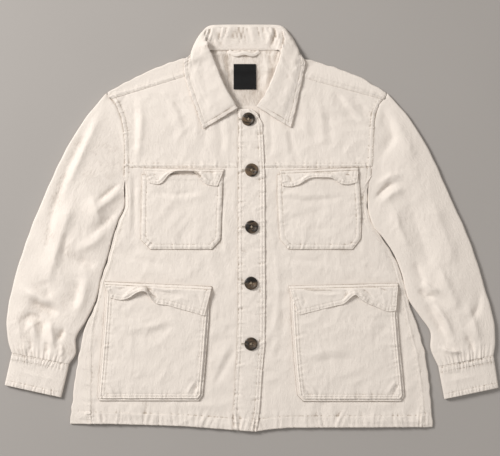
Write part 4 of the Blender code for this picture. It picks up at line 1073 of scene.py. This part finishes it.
def collar_stations():
    """The middle of the collar's thickness at ten places from the neck seam to the edge, for each row."""
    value = dict(zip(COLLAR_COLUMNS, COLLAR_ROWS.T))
    neck, roll, turn, edge = (
        np.stack([value[f"{part}_x"], value[f"{part}_y"]], axis=1)
        for part in ("neck", "roll", "turn", "edge")
    )
    rise, under = value["rise"], value["under"]
    half = COLLAR_CLOTH / 2
    behind, rolled = (under == 1)[:, None], (rise > 0)[:, None]
    outward, inward = unit(turn - roll), unit(edge - turn)
    base = front_top(neck[:, 0], neck[:, 1])
    neck_z = np.where(rise > 0, base - CLOTH / 2, COLLAR_LIFT + CLOTH / 2)
    roll_z = np.select([rise == 0, under == 1], [6.2, 7.6], base + 2.2 + rise)
    on_front = front_top(edge[:, 0], edge[:, 1]) + 1.4 + half
    leaf_z = np.select([under == 1, under == 0.5], [half, 5.2], on_front)
    crest = np.where(rise > 0, roll_z + rise, 5.6)
    places = [
        (neck, neck_z),
        (0.5 * neck + 0.5 * roll, 0.5 * neck_z + 0.5 * (roll_z - rise)),
        (np.where(rolled, roll + 1.5 * outward, 0.2 * neck + 0.8 * roll), roll_z - rise),
        (np.where(rolled, roll - 0.5 * outward, roll), roll_z),
        (np.where(rolled, roll + 1.5 * outward, 0.5 * roll + 0.5 * turn), crest),
        (0.35 * roll + 0.65 * turn, np.where(under == 1, crest - 0.7, 0.65 * crest + 0.35 * leaf_z)),
        (turn, np.where(under == 1, 0.45 * crest, 0.5 * crest + 0.5 * leaf_z)),
        (
            np.where(behind, turn + 2.2 * inward, 0.7 * turn + 0.3 * edge),
            np.where(under == 1, half, 0.3 * crest + 0.7 * leaf_z),
        ),
        (0.45 * turn + 0.55 * edge, np.where(under == 1, half, 0.1 * crest + 0.9 * leaf_z)),
        (edge, leaf_z),
    ]
    return np.stack([np.concatenate([plan, z[:, None]], axis=1) for plan, z in places], axis=1)


def resampled(points, rows, columns):
    """A coarse grid carried to these row and column places by smooth curves, one direction at a time."""
    shape = points.shape
    points = smooth(np.arange(shape[0]), points.reshape(shape[0], -1), rows).reshape(len(rows), shape[1], 3)
    points = points.transpose(1, 0, 2).reshape(shape[1], -1)
    return smooth(np.arange(shape[1]), points, columns).reshape(len(columns), len(rows), 3).transpose(1, 0, 2)


LEAF_FOLDS = fold_table("""
9 0.9 -110 290 -98 250 -84 214; 8 -0.7 -94 300 -86 262 -72 226; 8 0.8 88 296 78 258 66 222;
7 -0.8 70 300 64 268 52 232
""")


def collar():
    """The stations carried to a fine grid; the relief stands out of both faces, further on the outer one."""
    stations = collar_stations()
    rows = (len(stations) - 1) * spaced(640, 2.6, 0.9, 9, 9)
    columns = np.r_[np.linspace(0, 5, 26), np.linspace(5, 8, 14)[1:], 8 + spaced(24, 2, 0.9, 0, 12)[1:]]
    middle = resampled(stations, rows, columns)
    x, y, height = middle[..., 0], middle[..., 1], middle[..., 2].copy()
    half = COLLAR_CLOTH / 2
    resting = (columns >= 4.5)[None] & (y < 318) & (height > 3)
    lowest = (front_top(x, y) + 1.5 + half) * step(4.5, 6.5, columns)
    middle[..., 2] = np.where(resting, np.maximum(height, lowest), height)
    across, lengthwise = walked(middle, 1), walked(middle, 0)
    to_edge = across[:, -1:] - across
    to_start, to_end = lengthwise - lengthwise[:1], lengthwise[-1:] - lengthwise
    near = np.minimum(np.minimum(to_edge, to_start), to_end)
    along_edge = np.where(to_edge <= np.minimum(to_start, to_end), to_start, 700 + to_edge)
    fall, leaves = (columns < 4)[None] & (y > 331), (columns > 4.5)[None]
    relief = -0.6 * bell(near - 6.5, 1.1) + 0.5 * ripple(along_edge, 91, 7.5) * bell(near, 8)
    relief += 0.8 * crumple(x, y, 93, 30) + 1.7 * rumple(x, y, 15) + folds(COLLAR_FOLDS, x, y) * fall
    relief += folds(LEAF_FOLDS, x, y) * leaves
    lean = x + 0.3 * (y - 330) * np.sign(x + 14) + 3 * noise(x, y, 30, 96)
    relief += 1.2 * ripple(lean, 97, 11) * step(0.3, 1.5, columns)[None] * fall
    relief = relief * step(0, 1.2, columns)[None] * (middle[..., 2] > 2.5)
    normal = normals(middle)
    outer = middle + (half + relief)[..., None] * normal
    inner = middle - (half - 0.6 * relief)[..., None] * normal
    outer[..., 2], inner[..., 2] = np.maximum(outer[..., 2], 0), np.maximum(inner[..., 2], 0)
    # painted light and shade: the relief painted lighter on ridges and darker in dips, the part behind the
    # neck darker, and painted shade in each leaf's stitched row and along its edge
    lines = 1.1 * bell(near - 6.5, 1.1) + 0.7 * bell(near, 1.1)
    tint = relief * np.where(fall, 0.8, 1) - 0.45 * fall - lines * leaves
    under = ["front_chest_left", "front_chest_right"]
    cloth("collar", outer, inner, tint, (0.62, 0.11), 0.046, "folded", under)


collar()

# %% [markdown]
# The pockets are patches sewn on around three sides. The upper two lie flat. The lower two stand
# on a low wall, so that their edges show twice: the edge of the face, and the fold of the wall.

# %% Pockets
WALL_HEIGHT = 3.6


def pocket(name, flat, area, wall_height, bumps):
    """Level rows between the two measured sides; the wall is a step near the border, then a groove."""
    table = np.array(POCKETS[name], float)[::-1]
    top, bottom = table[-1, 0], table[0, 0]
    rows = top + (bottom - top) * spaced(top - bottom, 2.4, 0.8, 12, 14)
    left, right = (np.interp(rows, table[:, 0], table[:, i]) for i in (1, 2))
    x, y = between(left, right, rows, spaced((right - left).mean(), 2.4, 0.8, 13, 13))
    away = np.abs(near_line(x, y, outline_of(POCKETS[name]))[0])
    bumps = fold_table(bumps)
    seam, creases, mouth = seams_at([name], x, y), 1.4 * folds(bumps, x, y), top - y
    relief = seam + creases + crumple(x, y, len(bumps) + 101, 40)
    relief += 0.5 * noise(x, y, 90, 7) + rumple(x, y, 13)
    relief += 0.4 * (1 - step(11, 12.5, mouth)) - 0.4 * bell(mouth - 11, 1.1)
    if wall_height:
        rise = 1.5 * step(0, 1.0, away) - 0.7 * bell(away - 4.0, 0.7)
        rise += (wall_height - 1.5) * step(4.2, 5.4, away) + 0.4 * bell(away - 6.0, 0.9)
        relief = relief * step(3, 6, away)
    else:
        rise = 0.6 * step(0, 3, away)
        relief = relief * step(-1, 2, away)
    swell = 0.5 * step(0, 50, away)
    outer = lying(x, y, front_top(x, y) + GAP + CLOTH + rise + swell + relief)
    # the tint: the seam's relief and rows painted as light and shade, the creases a little, a dark painted
    # shadow line at the mouth under the flap, and a dark border line that is painted shade with some wear
    tint = (0.5 if wall_height else 1.0) * (seam + 0.6 * seam_lines([name], x, y)) * step(3, 6, away)
    tint = tint + 0.25 * creases * step(8, 14, away)
    tint = tint - 3.5 * bell(mouth, 1.2) - 1.5 * bell(away, 0.9)
    carrier = "front_body_left" if "left" in name else "front_body_right"
    cloth(name, outer, outer - (0, 0, CLOTH), tint, flat, area, rests_on=[carrier])


pocket("chest_pocket_left", (0.15, 0.15), 0.0205, 0, """
6 -1 -190 68 -140 62 -80 70; 7 0.9 -194 58 -140 54 -74 60; 8 0.8 -180 10 -160 30 -150 50;
8 -0.7 -130 0 -128 -20 -122 -36
""")
pocket("chest_pocket_right", (0.155, 0.15), 0.021, 0, """
6 -1.1 60 56 100 50 150 55 190 60; 7 0.9 56 66 100 60 150 63; 8 -0.9 60 10 100 26 160 40;
8 0.7 100 -36 96 -10 102 10
""")
pocket("lower_pocket_left", (0.2, 0.215), 0.0415, WALL_HEIGHT, """
9 -0.9 -240 -200 -200 -196 -140 -180; 9 0.9 -250 -190 -190 -182 -130 -168;
9 -0.8 -160 -270 -140 -240 -120 -220; 8 0.9 -180 -300 -150 -250 -130 -228;
2.5 -1.8 -276 -290 -268 -299 -262 -312; 2.5 1.4 -272 -282 -262 -292 -252 -308;
2.5 -1.8 -98 -288 -104 -299 -112 -312; 2.5 1.4 -102 -280 -112 -294 -120 -308
""")
pocket("lower_pocket_right", (0.205, 0.215), 0.042, WALL_HEIGHT, """
9 0.9 90 -240 140 -226 190 -228; 9 -0.8 100 -252 150 -240 200 -242;
9 -0.8 220 -220 240 -190 256 -170; 9 0.7 160 -180 190 -190 220 -200;
2.5 -1.8 272 -288 266 -299 260 -312; 2.5 1.4 268 -280 258 -294 250 -308;
2.5 -1.8 96 -290 102 -299 110 -312; 2.5 1.4 100 -282 112 -294 120 -308
""")

# %% [markdown]
# Each flap hangs from a narrow doubled band. Washing has curled the middle of its edge up, so that
# it lifts off the pocket in a soft arch with a shadow under it, while its corners stay down.

# %% Flaps
FLAP_BORDERS = {}
FLAP_CLOTH = 1.5


def flap(name, top, edge, lift, bumps, flat, area):
    """u runs along the flap, v down it: a band, a groove, the flap itself, and a curl that grows as v^1.6."""
    (x0, y0), (x1, y1) = top
    table = np.array(numbers(edge))
    u = spaced(x1 - x0, 1.9, 0.8, 10, 10)
    top_x, top_y = x0 + (x1 - x0) * u, y0 + (y1 - y0) * u
    edge_x = table[0, 0] + (table[-1, 0] - table[0, 0]) * u
    edge_y, curl = (smooth(table[:, 0], table[:, i], edge_x) for i in (1, 2))
    height = max(float(np.mean(y0 - edge_y)), 16)
    v = spaced(height, 1.3, 0.8, 9, 10)[:, None]
    x, y = top_x * (1 - v) + edge_x * v, top_y * (1 - v) + edge_y * v
    down = v * (top_y - edge_y)
    rise = 0.5 * bell(down - 2.4, 1.6) - 0.9 * bell(down - 5.2, 0.9)
    rise = rise + lift * step(0, 9, down)
    some = np.unique(np.r_[np.arange(0, len(edge_x), 3), len(edge_x) - 1])
    FLAP_BORDERS[name] = [(x0, y0), *zip(edge_x[some], edge_y[some]), (x1, y1)]
    away, at, _ = near_line(x, y, FLAP_BORDERS[name])
    away = np.abs(away)
    pressed = -0.5 * bell(away - 2, 1.0) - 0.5 * bell(away - 8, 1.0)
    waves = 0.5 * ripple(at, len(table) + int(abs(x0)), 9) * bell(away - 4, 6)
    relief = (pressed + waves) * step(6, 9, down) + folds(fold_table(bumps), x, y)
    relief = relief + 0.4 * crumple(x, y, 131, 26)
    relief += rumple(x, y, 14)
    bend = curl * v**1.6 + 0.25 * curl * bell(v - 0.8, 0.2)
    outer = lying(x, y, front_top(x, y) + GAP + CLOTH + 0.4 + rise + bend + relief * step(0, 3, down))
    up = normals(outer) * np.sign(normals(outer)[..., 2:])
    # painted shade: a dark line along the top edge, partly painted shadow and partly dirt, a dark line in the
    # groove under the band, and the relief painted as light and shade
    tint = 0.6 * relief - 1.8 * bell(down, 0.9) - 1.6 * bell(down - 5.2, 0.9)
    carrier = name.replace("flap", "pocket")
    cloth(name, outer, outer - FLAP_CLOTH * up, tint, flat, area, rests_on=[carrier], rim=0.5)


flap("chest_flap_left", ((-199, 110.5), (-51, 108.5)), """
-188 83 0; -167 83 1; -152 99 3; -141 105 4.2; -127 106.5 4.6; -114 106 4.4; -103 102 3.6;
-95 93 2.6; -87 84 1.6; -78 80 0.5; -63 78 0
""", 2.4, """
3 1.6 -174 84 -163 96 -150 106; 3 -1.5 -184 102 -172 92 -170 86; 3 -2.6 -108 107 -98 100 -88 90;
2.6 2.2 -98 108 -88 98 -80 88; 3 -1.2 -76 106 -70 96 -72 84; 3 1.2 -66 104 -60 94
""", (0.15, 0.035), 0.0035)
flap("chest_flap_right", ((53, 106), (197, 112)), """
57 78 0; 66 77 0; 85 80 1; 107 92 2.8; 130 94 3.6; 150 92 3.2; 164 83 1.5; 177 81 0.6; 195 85 0
""", 2.4, """
3 1.5 86 80 100 94 114 103; 3 1.5 174 82 162 96 150 105; 2.6 -1.6 62 100 72 92 78 82;
3 -1.3 182 106 174 96 178 86; 3 -1.4 120 104 140 101 158 105
""", (0.15, 0.035), 0.0035)
flap("lower_flap_left", ((-271.5, -99), (-73.5, -108)), """
-262 -128 0; -240 -132 1; -227 -129 3; -213 -119.5 6; -201 -115.5 7.5; -192 -118.5 6; -186 -128 3.5;
-179 -136 1.5; -157 -141.5 0.5; -123 -151 0; -87 -161.5 0
""", 5.2, """
4 2.4 -238 -132 -226 -118 -212 -108; 4 -3.2 -198 -106 -186 -116 -174 -130;
3 2.4 -206 -106 -196 -112 -188 -124; 3 1.6 -188 -107 -160 -114 -128 -113;
4 -1.6 -182 -112 -160 -121 -134 -122; 3 -1.4 -256 -108 -244 -112 -228 -108;
5 1.2 -150 -134 -130 -130 -104 -134; 3.5 -1.3 -104 -118 -96 -132 -94 -146
""", (0.2, 0.055), 0.0068)
flap("lower_flap_right", ((69, -107), (270, -102)), """
87 -160 0; 121 -151.5 0; 154 -143 0.5; 171 -138.5 1.5; 183 -127.5 3.6; 191 -122.3 4.6; 201 -130 3.6;
216 -139 1.8; 232 -146 0.7; 254 -153.5 0; 266 -152 0
""", 5.2, """
3.5 1.3 168 -138 178 -124 186 -112; 3.5 1.8 214 -138 204 -124 196 -112;
3 -2 84 -110 120 -115 160 -117; 3 1.4 110 -120 140 -124 164 -121;
2.8 -2.2 172 -112 176 -120 170 -130; 2.8 -2 202 -110 216 -120 224 -130;
3 -2 206 -107 234 -110 258 -117; 4 1.3 240 -122 246 -134 244 -144; 3 -1.3 94 -124 98 -136 96 -146
""", (0.2, 0.055), 0.0075)

# %% [markdown]
# Inside the neck a small black label is sewn to the yoke, and a narrow loop of denim hangs over
# it. The label is bare: only its weave and its turned ends show.

# %% Neck label and hanger loop
LABEL_BOX = (-33, 8, 257, 303)
LABEL_AIR, LABEL_CLOTH = 0.75, 0.9


def neck_label():
    """A level patch over the yoke, a little uneven and thicker at its turned edges."""
    left, right, low, high = LABEL_BOX
    x, y = np.meshgrid(np.linspace(left, right, 42), np.linspace(low, high, 46))
    edge = np.minimum(np.minimum(x - left, right - x), np.minimum(y - low, high - y))
    relief = 0.35 * noise(x, y, 22, 5) + 0.25 * bell(edge, 1.6) + 0.12 * ripple(y, 8, 16)
    outer = lying(x, y, neck_lift(x, y) + CLOTH + LABEL_AIR + LABEL_CLOTH + relief)
    cloth(
        "neck_label", outer, outer - (0, 0, 0.8), relief, (0.041, 0.046), 0.0018,
        rests_on=["back_yoke"], finish=BLACK_LABEL_AND_SLIT_SHADE,
    )


def hanger_loop():
    """A band carried along a path that rises in its middle; its two edges are turned under."""
    path = ((-42, 327, 1.4), (-30, 320.6, 3.2), (-14, 323.4, 5.2), (3, 320.4, 3.4), (14, 326.5, 1.4))
    centre = along(path, np.linspace(0, 1, 60))
    way = unit(np.gradient(centre, axis=0)[:, :2])
    out = np.linspace(-3.0, 3.0, 11)
    x, y = centre[:, :1] - way[:, 1:] * out, centre[:, 1:2] + way[:, :1] * out
    round_over = 0.5 * (1 - (out / 3.0) ** 2) - 0.4 * bell(np.abs(out) - 1.9, 0.5)
    z = centre[:, 2:] + neck_lift(centre[:, :1], centre[:, 1:2]) + CLOTH + GAP + round_over
    # the tint is painted light and shade: lighter on the loop's rounded middle and darker at its turned edges
    outer, tint = lying(x, y, z), round_over + 0 * x
    cloth("hanger_loop", outer, outer - (0, 0, 1.4), tint, (0.010, 0.066), None, "folded", ["back_yoke"])


neck_label()
hanger_loop()

# %% [markdown]
# The five buttons are turned from dark horn: a raised rim around a dish, four holes through it,
# and streaks that run across the whole face. Each is one surface on a polar grid, whose height is
# the sum of the rim, the dish and the wells of the holes.

# %% Buttons
def horn_finish():
    """Streaks: noise stretched across the button, from near black to a warm tan."""
    made, tree, shader = new_finish("polished_horn", Roughness=0.38, Coat_Weight=0.15, Coat_Roughness=0.12)
    streaks = chained(
        tree, node(tree, "ShaderNodeTexCoord").outputs["Object"],
        node(tree, "ShaderNodeMapping", in_Rotation=(0, 0, 0.9), in_Scale=(38, 105, 38)),
        node(tree, "ShaderNodeTexNoise", in_Scale=1.0, in_Detail=4.0, in_Roughness=0.6, in_Distortion=0.8),
    )
    two_tones(tree, shader, streaks.outputs[0], ((0.007, 0.005, 0.003), (0.22, 0.145, 0.085)), (0.44, 0.74))
    return made


HORN = horn_finish()
BUTTON_CENTRES = ((-6, 201), (0, 107), (0, 2), (-1, -102), (-1, -214))
BUTTON_RADIUS = 12.25
HOLE_AT = 2.9  # from the button's middle to a hole's
HOLES = ((1, 0), (-1, 0), (0, 1), (0, -1))


BUTTON_PROFILE = np.array(numbers("""
0 2.3; 1 2.3; 1.6 2.3; 2.1 2.3; 2.6 2.3; 3.1 2.3; 3.6 2.3; 4.2 2.35; 5 2.4; 6.2 2.5; 7.4 2.8;
8.4 3.25; 9.4 3.5; 10.4 3.5; 11.3 3.2; 11.9 2.6; 12.25 1.8; 12 0.9; 11 0.3; 9 0.05; 0 0
"""))


def button_points(centre, base, tilt):
    """Radius along a profile times angle: the top dips in the dish and in four wells, the back is flat."""
    angle = np.linspace(0, 2 * np.pi, 65)
    radius, height = BUTTON_PROFILE[:, :1], BUTTON_PROFILE[:, 1:]
    x, y = radius * np.cos(angle), radius * np.sin(angle)
    wells = sum(np.exp(-((np.hypot(x - sx * HOLE_AT, y - sy * HOLE_AT) / 1.2) ** 4)) for sx, sy in HOLES)
    z = height - 2.0 * wells * (height > 2.2)
    return lying(centre[0] + x, centre[1] + y, base + z + (tilt[0] * x + tilt[1] * y))


def button(number, centre):
    """A polar grid whose first and last columns are one, and whose first and last rows are one point each."""
    base = float(front_top(*centre)) + PLACKET_LIFT + 0.5 + 0.5
    points = button_points(centre, base, np.random.default_rng(number).uniform(-0.03, 0.03, 2))
    rows, columns = points.shape[:2]
    place = np.arange(rows * columns).reshape(rows, columns)
    place[:, -1] = place[:, 0]
    place[0], place[-1] = place[0, 0], place[-1, 0]
    faces = np.stack((place[:-1, :-1], place[1:, :-1], place[1:, 1:], place[:-1, 1:]), axis=-1).reshape(-1, 4)
    faces = [[v for i, v in enumerate(face) if v not in face[:i]] for face in faces.tolist()]
    used = np.unique([v for face in faces for v in face])
    new = {v: i for i, v in enumerate(used.tolist())}
    faces = [[new[v] for v in face] for face in faces]
    made = add_mesh(f"button_{number}_horn", points.reshape(-1, 3)[used], faces, HORN)
    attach(made, "root")
    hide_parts(f"button_{number}")
    return base


BUTTON_BASES = [button(i + 1, centre) for i, centre in enumerate(BUTTON_CENTRES)]
print(len(BUTTON_BASES), "buttons")

# %% [markdown]
# Thread is everywhere on a jacket like this: two rows along most seams, a worked edge round every
# buttonhole and a few strands through every button. A stitch is a small tapered bead of thread. All
# the beads of one panel are one mesh, made by moving copies of one bead along the rows, and each is
# dropped on the cloth below it.

# %% Stitches
BEAD_RING = np.array(((0.0, -1.0), (1.0, 0.0), (0.0, 1.0), (-1.0, 0.0)))
BEAD_AT, BEAD_SIZE = np.array((-0.5, 0.0, 0.5)), np.array((0.3, 1.0, 0.3))
BEAD = np.array([(at, size * a, size * b) for at, size in zip(BEAD_AT, BEAD_SIZE) for a, b in BEAD_RING])
BEAD_SIDES = [(i + j, i + (j + 1) % 4, i + 4 + (j + 1) % 4, i + 4 + j) for i in (0, 4) for j in range(4)]
BEAD_FACES = np.array(BEAD_SIDES + [(3, 2, 1, 0), (8, 9, 10, 11)])
STITCH = (2.5, 0.75, 0.5)  # length, width and height
PITCH = 3.3
RAY_FROM, LOWEST_STITCH = 60, 2.5


def beads(name, centre, way, normal, length, width, height, finish=THREAD):
    """Copies of one bead: centre + length * way * x + width * across * y + height * normal * z."""
    across = unit(np.cross(normal, way))
    axes = np.stack([way * length, across * width / 2, normal * height / 2], axis=1)
    points = centre[:, None] + np.einsum("va,nac->nvc", BEAD, axes)
    faces = BEAD_FACES[None] + np.arange(len(centre))[:, None, None] * len(BEAD)
    made = add_mesh(name, points.reshape(-1, 3), faces.reshape(-1, 4).tolist(), finish)
    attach(made, "root")
    return made


def offset_row(line, away):
    """A line's left-hand parallel: every corner moves along the mean of its two sides' normals."""
    line = np.asarray(line, float)
    way = unit(np.diff(line, axis=0))
    left = np.stack([-way[:, 1], way[:, 0]], axis=1)
    joint = np.concatenate([left[:1], left[:-1] + left[1:], left[-1:]])
    sides = np.r_[1, np.full(len(joint) - 2, 2), 1][:, None]
    joint /= np.maximum((joint * joint).sum(axis=1, keepdims=True), 0.5) / sides
    return line + away * joint


def row_places(line, pitch):
    """Middles and directions of stitches at an even pitch along a line with corners."""
    length = np.linalg.norm(np.diff(line, axis=0), axis=1).sum()
    count = max(int(length / pitch), 1)
    at = (np.arange(count) + 0.5) / count
    after, before = np.minimum(at + 0.3 / count, 1), np.maximum(at - 0.3 / count, 0)
    ahead = along_straight(line, after) - along_straight(line, before)
    return along_straight(line, at), unit(ahead)


def dropped(tree, places):
    """Where straight-down rays meet a surface: heights and normals, and which rays met it."""
    starts = np.c_[places, np.full(len(places), RAY_FROM)] * METRE
    hits = [tree.ray_cast(Vector(start), Vector((0, 0, -1))) for start in starts]
    lowest = LOWEST_STITCH * METRE
    met = np.array([hit[0] is not None and hit[1].z > 0.5 and hit[0].z > lowest for hit in hits])
    where = np.array([hit[0] for hit, ok in zip(hits, met) if ok]) / METRE
    return where, np.array([hit[1] for hit, ok in zip(hits, met) if ok]), met


def sew(node_name, lines, name=None):
    """Rows of stitches on one piece."""
    mesh = PIECES[node_name].data
    tree = BVHTree.FromPolygons([v.co for v in mesh.vertices], [tuple(p.vertices) for p in mesh.polygons])
    places, ways = (np.concatenate(part) for part in zip(*[row_places(line, PITCH) for line in lines]))
    where, normal, met = dropped(tree, places)
    way = np.c_[ways[met], np.zeros(int(met.sum()))]
    way = unit(way - (way * normal).sum(axis=1, keepdims=True) * normal)
    made = beads(name or f"{node_name}_stitches", where + 0.05 * normal, way, normal, *STITCH)
    print(made.name, len(where))


def rows_of(*names):
    """Every row of these seams, as lines."""
    return [offset_row(SEAMS[name][0], away) for name in names for away in SEAMS[name][2]]


sew("back_yoke", rows_of("forward", "armhole_left", "armhole_right"))
sew("back_yoke", rows_of("back_neck"), name="back_neck_stitches")
sew("back_body", rows_of("side_left", "side_right"))
for part, seam in (("chest", "chest"), ("body", "hem")):
    for place in ("left", "right"):
        sew(f"front_{part}_{place}", rows_of(seam, f"armhole_{place}"))
sew("placket", rows_of("placket_left", "placket_right"))
for place in ("left", "right"):
    sew(f"cuff_{place}", rows_of(f"cuff_{place}_top", f"cuff_{place}_low"))
    for kind in ("chest", "lower"):
        sew(f"{kind}_pocket_{place}", rows_of(f"{kind}_pocket_{place}"))
for name, border in FLAP_BORDERS.items():
    sew(name, [offset_row(border, away) for away in (2, 8)])
COLLAR_EDGE = [tuple(row[6:8]) for row in COLLAR_ROWS]
leaf_edges = ([(-27, 219), *COLLAR_EDGE[:7]], [*COLLAR_EDGE[18:], (13, 221)])
sew("collar", [offset_row(edge, -6.5) for edge in leaf_edges])

# %% [markdown]
# A buttonhole is a slit whose edges are covered with thread laid side by side. Its inner part is
# under the button, and its end shows as a short dark line to the left of it: a black bead of the
# label's cloth that is painted shade in the open slit. The four holes of each button carry two
# crossed bars of a browner thread.

# %% Buttonholes and button thread
SLIT_HALF = 1.3  # from the middle of a slit to the thread beside it


def buttonhole(number, centre):
    """Strands across both edges of the slit and round its outer end, and between them a black bead that is
    painted shade in the slit.
    """
    x0, x1 = centre[0] - 17.5, centre[0] - 8
    at = np.linspace(x0, x1, 14)
    end = np.radians(np.linspace(90, 270, 8))
    plan = np.concatenate([
        np.c_[at, np.full(14, centre[1] + SLIT_HALF)], np.c_[at, np.full(14, centre[1] - SLIT_HALF)],
        np.c_[x0 + SLIT_HALF * np.cos(end), centre[1] + SLIT_HALF * np.sin(end)],
    ])
    way = np.concatenate([np.tile((0.0, 1.0), (28, 1)), np.c_[np.cos(end), np.sin(end)]])
    z = front_top(plan[:, 0], plan[:, 1]) + PLACKET_LIFT + 1.0
    up = np.tile((0.0, 0.0, 1.0), (len(plan), 1))
    beads(f"buttonhole_{number}_thread", np.c_[plan, z], np.c_[way, 0 * z], up, 2.3, 0.85, 1.0)
    # painted shade: a black bead of the label's cloth fills the slit, where only its shade would show
    slit = np.array([(0.5 * (x0 + x1), centre[1], z.mean() - 0.1)])
    along_x = np.array([(1.0, 0, 0)])
    beads(f"buttonhole_{number}_slit", slit, along_x, up[:1], x1 - x0 + 2, 1.3, 0.9, BLACK_LABEL_AND_SLIT_SHADE)


def button_thread(number, centre, base):
    """Two crossed bars of three strands each between the holes."""
    shift = np.array((-0.4, 0.0, 0.4))
    low, high = 0 * shift + base + 2.5, 0 * shift + base + 2.9
    place = np.r_[np.c_[0 * shift, shift, low], np.c_[shift, 0 * shift, high]]
    way = np.repeat(((1.0, 0.0, 0.0), (0.0, 1.0, 0.0)), 3, axis=0)
    up = np.tile((0.0, 0.0, 1.0), (6, 1))
    length = 2 * HOLE_AT + 0.8
    beads(f"button_{number}_thread", place + (*centre, 0), way, up, length, 0.5, 0.7, BUTTON_THREAD)


for number, (centre, base) in enumerate(zip(BUTTON_CENTRES, BUTTON_BASES), start=1):
    buttonhole(number, centre)
    button_thread(number, centre, base)
print("buttonholes and thread done")

# %% [markdown]
# The floor is a plain pale board. One large soft light stands above the upper left, as a window
# would, a weaker one fills the other side, and the room itself gives a little light from all
# around, so that folds keep soft shadows on their lower right.

# %% Floor and light
def floor_finish():
    """Matt paint, a little cloudy."""
    made, tree, shader = new_finish("painted_board", Roughness=0.85)
    place = node(tree, "ShaderNodeTexCoord").outputs["Object"]
    grain = chained(tree, place, node(tree, "ShaderNodeTexNoise", in_Scale=3.0, in_Detail=2.0))
    two_tones(tree, shader, grain.outputs[0], ((0.395, 0.372, 0.352), (0.42, 0.395, 0.375)))
    return made


def area_light(name, place, target, size, watts, colour):
    """A square light that faces a target."""
    lamp = put(name, bpy.data.lights.new(name, "AREA"))
    lamp.data.size, lamp.data.energy, lamp.data.color = size, watts, colour
    lamp.location = place
    lamp.rotation_euler = (Vector(target) - Vector(place)).to_track_quat("-Z", "Y").to_euler()


FLOOR_HALF, FLOOR_Z = 4000, -0.3
corners = [(FLOOR_HALF * i, FLOOR_HALF * j, FLOOR_Z) for i, j in ((-1, -1), (1, -1), (1, 1), (-1, 1))]
floor = add_mesh("floor", corners, [(0, 1, 2, 3)], floor_finish())
area_light("window", (-2.5, 1.55, 2.15), (0.0, 0, 0), 1.1, 122, (1.0, 0.992, 0.98))
area_light("fill", (1.5, -0.7, 2.1), (0.1, 0, 0), 1.8, 10, (1.0, 0.985, 0.97))
room = bpy.data.worlds.new("room")
room.use_nodes = True
air = room.node_tree.nodes["Background"]
air.inputs["Color"].default_value, air.inputs["Strength"].default_value = (1.0, 0.955, 0.905, 1), 0.32
bpy.context.scene.world = room
bpy.context.scene.view_settings.view_transform = "Standard"
